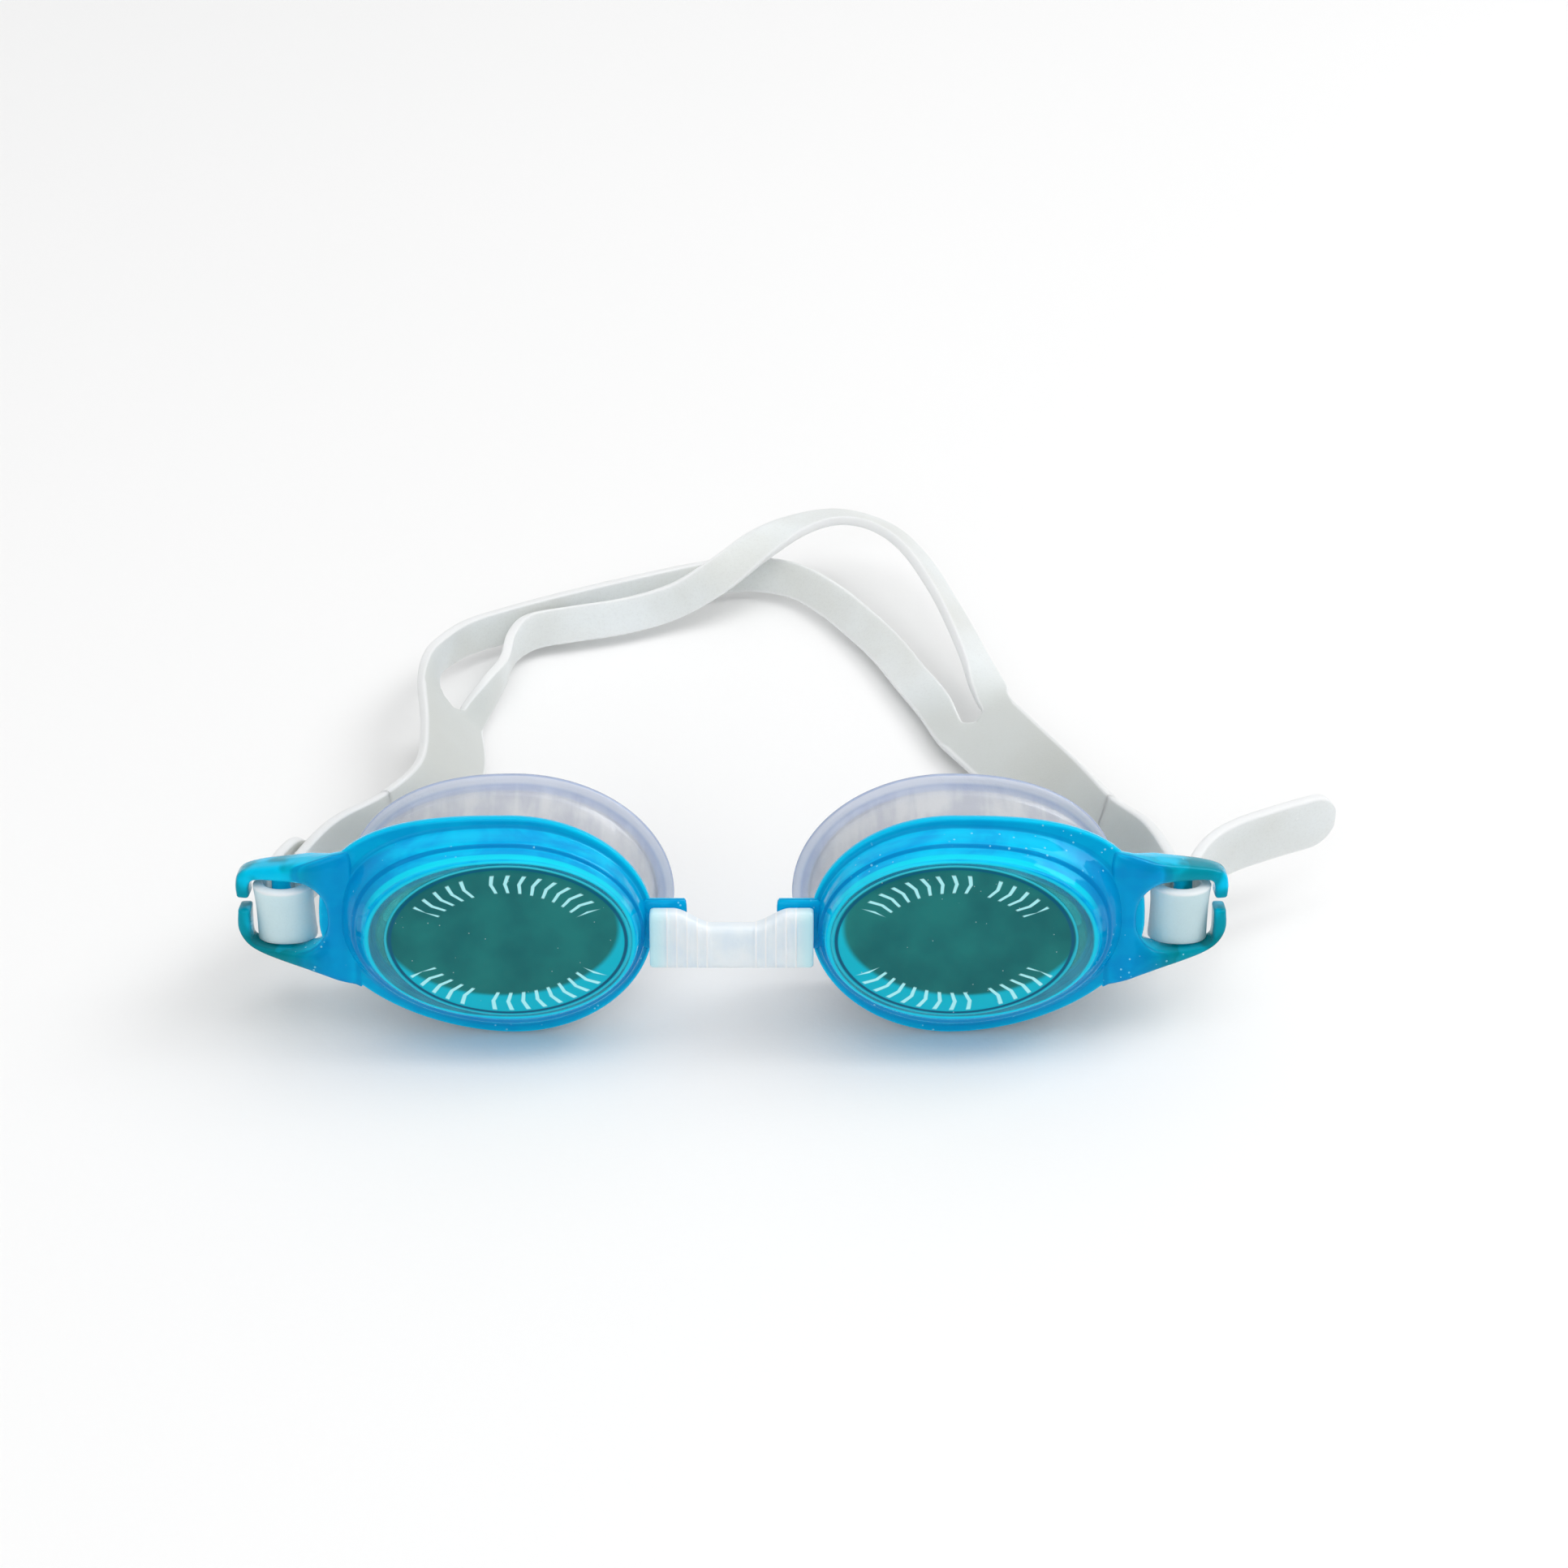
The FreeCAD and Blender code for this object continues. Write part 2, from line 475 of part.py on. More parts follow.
def post_turn(side):
    """Stations of the strap round one post, from the head side to the tail side. Side is 1 on the right."""
    plan = [(turn_x + 0.2, turn_depth + 5.6), (turn_x - 1.6, turn_depth + 4.2),
            (turn_x - 3.1, turn_depth + 2.4)]
    for step in range(9):
        angle = math.pi * step / 8
        plan.append((turn_x - turn * math.cos(angle), turn_depth - turn * math.sin(angle)))
    plan += [(turn_x + 3.6, turn_depth + 2.4), (turn_x + 3.0, turn_depth + 4.2),
             (turn_x + 2.8, turn_depth + 5.6)]
    stations = []
    for x, depth in plan:
        point = cup_point(x, depth, middle)
        stations.append((side * point.x, point.y, point.z, end_width, 0.0))
    return stations


def upright_turn(stations, thickness):
    """Closed solid of the strap round a post: its plan outline pushed up along the cup's own upright."""
    upright = cup_point(0, 0, 1) - cup_point(0, 0, 0)
    points = [Vector(*station[:3]) for station in stations]
    near, far = [], []
    for number, point in enumerate(points):
        along = (points[min(number + 1, len(points) - 1)] - points[max(number - 1, 0)]).normalize()
        through = along.cross(upright).normalize() * (thickness / 2)
        near.append(point + through - upright * (end_width / 2))
        far.append(point - through - upright * (end_width / 2))
    outline = near + far[::-1]
    return Part.Face(Part.makePolygon(outline + outline[:1])).extrude(upright * end_width)


right_turn, left_turn = post_turn(1), post_turn(-1)
thin = strap_thick - 0.1
strap_pieces = [
    ribbon(smooth_stations([right_turn[0]] + RIGHT_ARM), strap_thick),
    ribbon(smooth_stations(LEFT_ARM + [left_turn[0]]), strap_thick),
    ribbon(smooth_stations(BAND_LOW), thin),
    ribbon(smooth_stations(BAND_HIGH), thin),
    upright_turn(right_turn, strap_thick + 0.02),
    upright_turn(left_turn, strap_thick + 0.02),
    ribbon(smooth_stations([right_turn[-1]] + RIGHT_TAIL), thin),
    ribbon(smooth_stations([left_turn[-1]] + LEFT_TAIL), thin),
]
strap_shape = strap_pieces[0].multiFuse(strap_pieces[1:])
head_strap = shaped("head_strap", strap_shape)
document.recompute()

# Everything is moved so that the origin is under the middle of the whole part's box.
right_parts = [eyecup_right, gasket_right, film_right]
lefts = []
for right_part in right_parts:
    left_part = document.addObject("Part::Mirroring", right_part.Name.replace("_right", "_left"))
    left_part.Source = right_part
    left_part.Normal = Vector(1, 0, 0)
    left_part.setExpression("Base.x", "-Sizes.origin_x")
    lefts.append(left_part)
subparts = right_parts + lefts + [nose_bridge, head_strap]


def stand():
    """Puts every sub-part in its place for the sheet's present origin."""
    shift = Vector(-size("origin_x"), -size("origin_y"), 0)
    lean_back = Rotation(Vector(1, 0, 0), -size("rest_tilt"))
    for part in right_parts:
        part.Placement = Placement(standing.Base + shift, lean_back)
    nose_bridge.Placement = Placement(Vector(0, 0, lens_height) + shift, lean_back)
    head_strap.Placement = Placement(shift, Rotation())
    document.recompute()


stand()
whole = Part.Compound([part.Shape for part in subparts]).optimalBoundingBox(False)
sheet.set(cell_of["origin_x"], str(round(whole.Center.x, 3)))
sheet.set(cell_of["origin_y"], str(round(whole.Center.y, 3)))
document.recompute()
stand()

for made in document.Objects:
    if "Invalid" in made.State or "Error" in made.State:
        raise RuntimeError(f"{made.Name} did not compute: {made.State}")
for part in subparts:
    if part.Shape.isNull() or not part.Shape.isValid() or len(part.Shape.Solids) != 1:
        raise RuntimeError(f"{part.Label} is not one valid solid")
os.makedirs("parts", exist_ok=True)
for part in subparts:
    part.Shape.exportStep(os.path.join("parts", f"{part.Label}.step"))
    print(part.Label, round(part.Shape.Volume, 1))
print("origin moved by", size("origin_x"), size("origin_y"), "lens height", round(lens_height, 3))
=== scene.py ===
import math
import bmesh
import bpy
import numpy as np
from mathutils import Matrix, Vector


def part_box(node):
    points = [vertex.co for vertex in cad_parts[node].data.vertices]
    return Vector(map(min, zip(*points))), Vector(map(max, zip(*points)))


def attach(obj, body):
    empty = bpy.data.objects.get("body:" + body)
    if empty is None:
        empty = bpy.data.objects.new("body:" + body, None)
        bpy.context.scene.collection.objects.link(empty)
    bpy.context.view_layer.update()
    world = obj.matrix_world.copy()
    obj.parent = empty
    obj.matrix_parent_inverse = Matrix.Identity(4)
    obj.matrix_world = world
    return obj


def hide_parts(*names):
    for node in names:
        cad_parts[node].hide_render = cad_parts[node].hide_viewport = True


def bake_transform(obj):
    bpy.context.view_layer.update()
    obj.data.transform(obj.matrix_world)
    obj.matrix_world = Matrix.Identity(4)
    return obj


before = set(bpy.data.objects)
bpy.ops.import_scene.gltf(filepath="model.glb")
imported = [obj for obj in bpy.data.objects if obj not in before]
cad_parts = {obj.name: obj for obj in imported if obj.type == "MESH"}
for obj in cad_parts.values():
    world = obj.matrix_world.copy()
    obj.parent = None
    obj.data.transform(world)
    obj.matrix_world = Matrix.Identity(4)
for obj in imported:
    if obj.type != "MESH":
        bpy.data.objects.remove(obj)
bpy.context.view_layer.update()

# ---------------------------------------------------------------------------------------------
# Stand: the goggles on a plain pale table under soft studio light, seen from in front and above.
# The table is a very large, very slightly uneven matt sheet; it isn't part of the goggles.
# ---------------------------------------------------------------------------------------------
MM = 0.001
bridge_low, bridge_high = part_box("nose_bridge")
film_low, film_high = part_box("protective_film_right")
TILT = math.radians(16.0)
LEVEL = (0.0, 0.0, 0.0)
LENS_REACH = (film_low.x + film_high.x - bridge_low.x - bridge_high.x) / 2 / MM
FILM_THICKNESS = 0.3
# The middle between the two lenses' front faces, in metres: the film's middle, half a film further back.
MIDDLE = np.array([
    (bridge_low.x + bridge_high.x) / 2,
    (film_low.y + film_high.y) / 2 + FILM_THICKNESS / 2 * MM * math.cos(TILT),
    (film_low.z + film_high.z) / 2 - FILM_THICKNESS / 2 * MM * math.sin(TILT),
])


class Value:
    """One socket of a material's nodes. Python's operators on it add Math nodes, so that a pattern reads as
    a formula."""

    def __init__(self, finish, socket):
        self.finish, self.socket = finish, socket

    def math(self, operation, *others):
        return self.finish.node("ShaderNodeMath", {"operation": operation}, dict(enumerate((self, *others))))

    def __add__(self, other):
        return self.math("ADD", other)

    def __radd__(self, other):
        return self.math("ADD", other)

    def __sub__(self, other):
        return self.math("SUBTRACT", other)

    def __rsub__(self, other):
        return self.finish.number(other).math("SUBTRACT", self)

    def __mul__(self, other):
        return self.math("MULTIPLY", other)

    def __rmul__(self, other):
        return self.math("MULTIPLY", other)

    def __truediv__(self, other):
        return self.math("DIVIDE", other)

    def __pow__(self, other):
        return self.math("POWER", other)

    def __gt__(self, other):
        return self.math("GREATER_THAN", other)

    def __lt__(self, other):
        return self.math("LESS_THAN", other)

    def __abs__(self):
        return self.math("ABSOLUTE")

    def step(self, low, high):
        """0 below low, 1 above high and smooth between them."""
        return self.finish.node("ShaderNodeMapRange", {"interpolation_type": "SMOOTHSTEP"},
                                {0: self, 1: low, 2: high, 3: 0.0, 4: 1.0})

    def band(self, middle, half, soft):
        """1 where the value is within half of the middle, falling to 0 over soft."""
        return 1.0 - abs(self - middle).step(half, half + soft)


class Finish:
    """A material with its nodes: one Principled shader, and patterns added by node() and mix()."""

    def __init__(self, name, **constants):
        self.material = bpy.data.materials.new(name)
        self.material.use_nodes = True
        self.tree = self.material.node_tree
        self.shader = self.tree.nodes["Principled BSDF"]
        for socket, value in constants.items():
            self.shader.inputs[socket.replace("_", " ")].default_value = value

    def put(self, socket, value):
        """Sets a socket to a number or a colour, or links a Value to it."""
        if isinstance(value, Value):
            self.tree.links.new(value.socket, socket)
        else:
            socket.default_value = value

    def node(self, kind, settings=None, sockets=None, output=0):
        """Adds any node: its settings first, then its sockets by name or number; gives back one output."""
        made = self.tree.nodes.new(kind)
        for name, value in (settings or {}).items():
            if name == "stops":
                ramp = made.color_ramp
                while len(ramp.elements) < len(value):
                    ramp.elements.new(0.5)
                for element, (place, colour) in zip(ramp.elements, value):
                    element.position, element.color = place, (*colour, 1.0)
            else:
                setattr(made, name, value)
        for name, value in (sockets or {}).items():
            self.put(made.inputs[name], value)
        return Value(self, made.outputs[output])

    def number(self, value):
        return self.node("ShaderNodeMath", {"operation": "ADD"}, {0: value, 1: 0.0})

    def mix(self, share, first, second):
        """Colour between two colours."""
        first, second = ((*c, 1.0) if isinstance(c, tuple) else c for c in (first, second))
        return self.node("ShaderNodeMix", {"data_type": "RGBA"}, {0: share, 6: first, 7: second}, 2)

    def place(self, turn=(-TILT, 0.0, 0.0)):
        """Object coordinates as millimetres from the middle of the lenses: across, depth and up in the lenses'
        own leaning frame, or in another one by its turn."""
        where = self.node("ShaderNodeTexCoord", None, None, 3)
        return self.node("ShaderNodeMapping", {"vector_type": "TEXTURE"},
                         {0: where, 1: tuple(MIDDLE), 2: turn, 3: (MM, MM, MM)})

    def noise(self, where, scale, detail=2.0, rough=0.5, distortion=0.0):
        return self.node("ShaderNodeTexNoise", None, {
            "Vector": where, "Scale": scale, "Detail": detail, "Roughness": rough, "Distortion": distortion})

    def streaks(self, where, scales, detail=3.0, rough=0.5, distortion=0.0):
        """Noise drawn out along the directions whose scale is small."""
        drawn_out = self.node("ShaderNodeVectorMath", {"operation": "MULTIPLY"}, {0: where, 1: scales})
        return self.noise(drawn_out, 1.0, detail, rough, distortion)

    def spots(self, where, scale, size):
        """1 inside small round spots that are scattered one to a cell, and 0 between them."""
        return self.node("ShaderNodeTexVoronoi", {"feature": "F1"}, {"Vector": where, "Scale": scale}) < size

    def parts(self, where):
        """The three numbers of a vector."""
        return [self.node("ShaderNodeSeparateXYZ", None, {0: where}, n) for n in range(3)]

    def wear(self, **links):
        """Links patterns to the shader's sockets."""
        for socket, value in links.items():
            self.put(self.shader.inputs[socket.replace("_", " ")], value)
        return self.material

    def blend_in(self, share, second):
        """Shows a second shader in the first one's place by a share."""
        first = Value(self, self.shader.outputs[0])
        mixed = self.node("ShaderNodeMixShader", None, {0: share, 1: first, 2: second})
        self.put(self.tree.nodes["Material Output"].inputs["Surface"], mixed)

    def bump(self, height, distance, strength=1.0):
        return self.node("ShaderNodeBump", None, {"Height": height, "Distance": distance, "Strength": strength})


def mesh_object(name, points, faces, material=None):
    """A shown, smooth object from an array of points in metres and a list or array of faces."""
    mesh = bpy.data.meshes.new(name)
    mesh.from_pydata(np.asarray(points, float).reshape(-1, 3), [], [list(map(int, f)) for f in faces])
    mesh.polygons.foreach_set("use_smooth", [True] * len(mesh.polygons))
    if material:
        mesh.materials.append(material)
    mesh.update()
    made = bpy.data.objects.new(name, mesh)
    bpy.context.scene.collection.objects.link(made)
    return made


def grid_faces(rows, columns, around_rows=False, around_columns=False, first=0):
    """Quads between neighbours of a grid whose points run row by row; a direction may close on itself."""
    r = np.arange(rows if around_rows else rows - 1)[:, None]
    c = np.arange(columns if around_columns else columns - 1)[None, :]
    a, b = r * columns + c, r * columns + (c + 1) % columns
    d = ((r + 1) % rows) * columns + (c + 1) % columns
    e = ((r + 1) % rows) * columns + c
    return first + np.stack([a, b, d, e], -1).reshape(-1, 4)


TABLE_HALF, TABLE_BEHIND, TABLE_LINES = 2.2, 0.6, 45
TABLE_DROP, TABLE_WAVE = 0.0006, 0.0002


def table_top():
    """A square sheet, nearly flat: its height is a very low product of two waves."""
    across = np.linspace(-TABLE_HALF, TABLE_HALF, TABLE_LINES)
    x, y = np.meshgrid(across, across)
    z = -TABLE_DROP - TABLE_WAVE * np.sin(3 * x) * np.sin(2 * y)
    return np.stack([x, y + TABLE_BEHIND, z], -1), grid_faces(TABLE_LINES, TABLE_LINES)


def full_turn(count):
    """Even angles round a full circle, as one row."""
    return np.linspace(0.0, 2 * math.pi, count, endpoint=False)[None, :]


def squared(angle, power):
    """Cosine and sine to a power, each with its sign kept: below a power of 1, a circle grows towards a square."""
    return [np.sign(wave) * np.abs(wave) ** power for wave in (np.cos(angle), np.sin(angle))]


table_finish = Finish("matt_white_table", Roughness=0.62)
table_place = table_finish.place(turn=LEVEL)
table_cloud = table_finish.noise(table_place, 0.006, 3.0)
table_grain = table_finish.noise(table_place, 0.9, 4.0)
table_finish.wear(
    Base_Color=table_finish.mix(table_cloud, (0.885, 0.885, 0.885), (0.9, 0.9, 0.9)),
    Normal=table_finish.bump(table_grain, 0.00004),
)
table = mesh_object("table", *table_top(), table_finish.material)

camera_data = bpy.data.cameras.new("front_camera")
camera_data.sensor_width = 36.0
camera_data.lens = 77.516
camera_data.clip_end = 20.0
camera = bpy.data.objects.new("front_camera", camera_data)
bpy.context.scene.collection.objects.link(camera)
CAMERA_DOWN = math.radians(36.0)
# Millimetres from the middle of the lenses.
CAMERA_PLACE = np.array([8.125, -406.51, 325.17])
camera.location = MIDDLE + CAMERA_PLACE * MM
camera.rotation_euler = (math.pi / 2 - CAMERA_DOWN, 0.0, 0.0)
bpy.context.scene.camera = camera


def soft_light(name, place, aim, width, height, power, colour=(1.0, 1.0, 1.0)):
    """A large rectangular lamp at a place, turned towards its aim."""
    lamp = bpy.data.lights.new(name, "AREA")
    lamp.shape, lamp.size, lamp.size_y, lamp.energy, lamp.color = "RECTANGLE", width, height, power, colour
    made = bpy.data.objects.new(name, lamp)
    made.location = place
    made.rotation_euler = (Vector(aim) - Vector(place)).to_track_quat("-Z", "Y").to_euler()
    bpy.context.scene.collection.objects.link(made)


soft_light("window_light", (0.85, 0.25, 0.95), (0.0, 0.0, 0.0), 0.75, 0.7, 5.6)
soft_light("overhead_light", (0.1, -0.1, 1.3), (0.0, 0.0, 0.0), 1.2, 1.0, 4.1)
soft_light("front_fill", (-0.4, -1.1, 0.75), (0.0, 0.0, 0.02), 1.0, 0.7, 2.8)
world = bpy.data.worlds.new("studio")
world.use_nodes = True
bpy.context.scene.world = world
sky = world.node_tree.nodes
sky_place = sky.new("ShaderNodeTexCoord")
sky_parts = sky.new("ShaderNodeSeparateXYZ")
sky_ramp = sky.new("ShaderNodeValToRGB")
for stop, (height, grey) in zip(sky_ramp.color_ramp.elements, ((0.0, 0.45), (0.75, 0.69))):
    stop.position, stop.color = height, (grey, grey, grey, 1.0)
world.node_tree.links.new(sky_place.outputs["Generated"], sky_parts.inputs[0])
world.node_tree.links.new(sky_parts.outputs[2], sky_ramp.inputs[0])
world.node_tree.links.new(sky_ramp.outputs[0], sky["Background"].inputs[0])
bpy.context.scene.view_settings.view_transform = "Standard"

# ---------------------------------------------------------------------------------------------
# Eyecups: each is one moulding of clear cyan polycarbonate, with a flat lens, a flaring side
# wall with a small step in it, a rear flange, a fork for the strap and a lug for the bridge.
# ---------------------------------------------------------------------------------------------
# How far an outline reaches towards the nose, the temple, the top and the bottom, and how square its corners
# are at the top, at the bottom and on the nose side.
LENS = np.array([20.0, 22.4, 13.2, 13.4])
WALL = np.array([21.0, 26.4, 15.7, 16.8])
FLANGE = np.array([22.2, 30.0, 17.55, 18.65])
WALL_THICK, LENS_THICK = 1.6, 2.0
FLANGE_FRONT, FLANGE_BACK = 7.0, 8.6
LENS_CORNERS = np.array([2.2, 2.0, 2.0])
WALL_CORNERS = np.array([2.6, 1.95, 2.0])
FLANGE_CORNERS = np.array([2.8, 1.85, 2.0])
INNER_LENS_CORNERS = np.array([2.1, 1.95, 2.0])
INNER_WALL_CORNERS = np.array([2.3, 1.9, 2.0])
WALL_START = 0.5
ARM_MIDDLE = 0.9
AROUND = 168


def stand_up(points, side):
    """Points of a cup's own frame, in millimetres, in their place: leaned back, and mirrored for the left."""
    points = np.asarray(points, float)
    x, depth, up = points[..., 0], points[..., 1], points[..., 2]
    y = depth * math.cos(TILT) + up * math.sin(TILT)
    z = -depth * math.sin(TILT) + up * math.cos(TILT)
    return MIDDLE + MM * np.stack([side * (LENS_REACH + x), y, z], -1)


def egg(angle, reaches, corners):
    """Outline of four superellipse quarters: each coordinate is its quarter's reach times the cosine or the
    sine to the power of two over that quarter's corner number, so a larger corner number is squarer."""
    along, up = np.cos(angle), np.sin(angle)
    nose, temple, top, bottom = np.moveaxis(reaches, -1, 0)
    top_corner, bottom_corner, nose_corner = np.moveaxis(corners, -1, 0)
    power = 2.0 / np.where(along < 0, nose_corner, np.where(up >= 0, top_corner, bottom_corner))
    x = np.where(along < 0, nose, temple) * np.sign(along) * np.abs(along) ** power
    z = np.where(up < 0, bottom, top) * np.sign(up) * np.abs(up) ** power
    return x, z


def capped_tube(rings, side, name):
    """A closed object: rings of points, row after row, with a middle point added at each end."""
    rows, columns = rings.shape[:2]
    points = np.concatenate([rings.reshape(-1, 3), rings[0].mean(0)[None], rings[-1].mean(0)[None]])
    step = np.arange(columns)
    after = (step + 1) % columns
    last_row = (rows - 1) * columns
    first_cap = np.stack([after, step, np.full(columns, rows * columns)], -1)
    last_cap = np.stack([last_row + step, last_row + after, np.full(columns, rows * columns + 1)], -1)
    faces = [*grid_faces(rows, columns, around_columns=True), *first_cap, *last_cap]
    made = mesh_object(name, stand_up(points, side), faces)
    outwards(made)
    return made


def outwards(made):
    """Merges a mesh's doubles and turns its faces outwards."""
    bpy.context.view_layer.objects.active = made
    bpy.ops.object.select_all(action="DESELECT")
    made.select_set(True)
    bpy.ops.object.mode_set(mode="EDIT")
    bpy.ops.mesh.select_all(action="SELECT")
    bpy.ops.mesh.remove_doubles(threshold=0.000004)
    bpy.ops.mesh.normals_make_consistent(inside=False)
    bpy.ops.object.mode_set(mode="OBJECT")


def cup_rings():
    """The cup as rings one after another: out over the lens, back along the wall, over the flange, and
    forwards again inside the wall to the lens's inner face. A ring is a depth and an outline."""
    def wall_at(depth, out):
        share = (depth - WALL_START) / (FLANGE_FRONT - WALL_START)
        return depth, LENS + (WALL - LENS) * share + out, LENS_CORNERS + (WALL_CORNERS - LENS_CORNERS) * share

    inner_front, inner_back = LENS - WALL_THICK, WALL - WALL_THICK - np.array([0.0, 1.0, 0.0, 0.0])
    rings = [(0.0, LENS * share, LENS_CORNERS) for share in (0.03, 0.3, 0.6, 0.85)]
    rings += [(d, LENS - inset, LENS_CORNERS) for d, inset in (
        (0.0, 0.62), (0.02, 0.36), (0.1, 0.16), (0.24, 0.05), (WALL_START, 0.0))]
    rings += [wall_at(d, out) for d, out in (
        (1.2, 0.0), (2.2, 0.0), (2.9, 0.0), (3.05, 0.08), (3.15, 0.3), (3.3, 0.42), (4.2, 0.42), (5.4, 0.36),
        (6.3, 0.3), (6.7, 0.36), (6.92, 0.56), (FLANGE_FRONT, 0.85))]
    rings += [(d, FLANGE - inset, FLANGE_CORNERS) for d, inset in (
        (FLANGE_FRONT, 0.7), (7.03, 0.4), (7.16, 0.14), (7.42, 0.0), (8.2, 0.0), (8.44, 0.12), (8.57, 0.38),
        (FLANGE_BACK, 0.8))]
    for d, share, out in (
            (FLANGE_BACK, 0.0, 0.25), (8.5, 0.0, 0.0), (6.6, 0.28, 0.0), (4.4, 0.62, 0.0), (2.7, 0.92, 0.0)):
        rings.append((d, inner_back + (inner_front - inner_back) * share + out,
                      INNER_WALL_CORNERS + (INNER_LENS_CORNERS - INNER_WALL_CORNERS) * share))
    rings += [(d, inner_front - inset, INNER_LENS_CORNERS)
              for d, inset in ((2.25, 0.12), (2.06, 0.38), (LENS_THICK, 0.8))]
    rings += [(LENS_THICK, inner_front * share, INNER_LENS_CORNERS) for share in (0.8, 0.5, 0.25, 0.03)]
    depth = np.array([r[0] for r in rings])[:, None]
    reaches, corners = (np.array([r[which] for r in rings])[:, None, :] for which in (1, 2))
    x, z = egg(full_turn(AROUND), reaches, corners)
    return np.stack([x, np.broadcast_to(depth, x.shape), z], -1)


def smooth_path(stations, spans):
    """The smooth cubic through stations: at each one the slope is half the step between its neighbours."""
    stations = np.asarray(stations, float)
    ends = np.concatenate([stations[:1], stations, stations[-1:]])
    a, b, c, d = ends[:-3, None], ends[1:-2, None], ends[2:-1, None], ends[3:, None]
    t = (np.arange(spans) / spans)[None, :, None]
    made = 0.5 * (2 * b + (c - a) * t + (2 * a - 5 * b + 4 * c - d) * t ** 2 + (3 * b - a - 3 * c + d) * t ** 3)
    return np.concatenate([made.reshape(-1, stations.shape[1]), stations[-1:]])


# Across and up at the inner edge and at the outer edge of the fork's bar, from the upper hook round to the lower.
FORK_BAR = [
    (41.05, 3.7, 43.1, 3.7), (41.05, 5.0, 43.2, 5.5), (40.6, 6.1, 42.7, 7.3), (39.1, 6.5, 40.9, 8.3),
    (36.0, 6.5, 36.6, 9.2), (32.7, 6.4, 32.0, 10.1), (30.5, 5.3, 26.6, 11.6), (29.0, 3.3, 24.6, 11.0),
    (28.6, 0.9, 24.4, 0.9), (29.0, -1.5, 23.6, -9.8), (30.5, -3.5, 25.0, -10.3), (32.7, -4.6, 31.0, -8.3),
    (36.0, -4.7, 36.4, -6.8), (39.1, -4.6, 39.9, -5.5), (40.6, -4.1, 42.0, -3.9), (41.05, -2.7, 43.1, -1.7),
    (41.05, 1.1, 43.0, 1.1),
]
# Depth of the fork's front and back faces by how far across they lie.
FORK_FRONT = np.array([(20.0, 6.9), (24.0, 6.75), (27.5, 6.1), (31.0, 6.2), (35.9, 7.5), (40.0, 8.5), (44.2, 9.2)])
FORK_BACK = np.array([(24.0, 8.5), (28.0, 8.9), (31.6, 12.4), (38.1, 13.5), (44.2, 13.3)])
FORK_SPANS, FORK_AROUND, FORK_SQUARENESS = 7, 28, 0.42


def fork_rings():
    """The fork's bar: a rounded rectangle carried along the bar's inner and outer edges, thicker where the
    slanting front and back faces lie further apart; both of its ends draw in to a small flat."""
    bar = smooth_path(FORK_BAR, FORK_SPANS)
    inner, outer = bar[:, None, 0:2], bar[:, None, 2:4]
    across, deep = squared(full_turn(FORK_AROUND), FORK_SQUARENESS)
    flat = inner + (outer - inner) * ((across + 1) / 2)[..., None]
    front = np.interp(flat[..., 0], *FORK_FRONT.T)
    back = np.interp(flat[..., 0], *FORK_BACK.T)
    depth = front + (back - front) * (deep + 1) / 2
    rings = np.stack([flat[..., 0], depth, flat[..., 1]], -1)
    ends = []
    for ring, away in ((rings[0], 1.0), (rings[-1], -1.0)):
        middle = ring.mean(0)
        ends.append([middle + (ring - middle) * shrink + np.array([0.0, 0.0, -away * out])
                     for shrink, out in ((0.72, 0.34), (0.9, 0.24))])
    return np.concatenate([ends[0], rings, ends[1][::-1]])


BAR_AROUND = 24


def bar_rings(start, end, half_a, half_b, axis_a, axis_b, corner):
    """A short straight bar: a superellipse carried from start to end, drawn in over its last half millimetre."""
    start, end = np.array(start, float), np.array(end, float)
    length = np.linalg.norm(end - start)
    along = np.array([0.0, 0.12, 0.4, length - 0.4, length - 0.12, length]) / length
    shrink = np.array([0.72, 0.92, 1.0, 1.0, 0.92, 0.72])[:, None]
    along_a, along_b = squared(full_turn(BAR_AROUND), 2 / corner)
    a, b = shrink * half_a * along_a, shrink * half_b * along_b
    middle = start + (end - start) * along[:, None]
    return middle[:, None] + a[..., None] * np.array(axis_a) + b[..., None] * np.array(axis_b)


def unite(base, tools):
    """Makes one closed mesh of a base and the pieces that overlap it."""
    for tool in tools:
        union = base.modifiers.new("union", "BOOLEAN")
        union.operation, union.solver, union.object = "UNION", "EXACT", tool
        bpy.context.view_layer.objects.active = base
        bpy.ops.object.modifier_apply(modifier=union.name)
        bpy.data.objects.remove(tool)


# The small emission imitates light that has travelled along inside the clear plastic.
cup_finish = Finish("cyan_polycarbonate", Transmission_Weight=0.34, IOR=1.5, Specular_IOR_Level=0.35,
                    Specular_Tint=(0.12, 0.7, 1.0, 1.0), Emission_Strength=0.05)
cup_where = cup_finish.place()
across, depth, up = cup_finish.parts(cup_where)
temple = abs(across) - LENS_REACH
cloud = cup_finish.noise(cup_where, 0.11, 3.0, 0.55, 0.8)
streak = cup_finish.streaks(cup_where, (0.05, 0.5, 0.35), distortion=0.6)
tone = (cloud * 0.6 + streak * 0.4).step(0.36, 0.62)
cyan = cup_finish.mix(tone, (0.0, 0.42, 0.84), (0.0, 0.66, 0.99))
# Painted light: from the flange backwards the cup is painted a lighter cyan than the wall.
cyan = cup_finish.mix(depth.step(6.6, 7.4) * 0.8, cyan, (0.0, 0.70, 1.0))
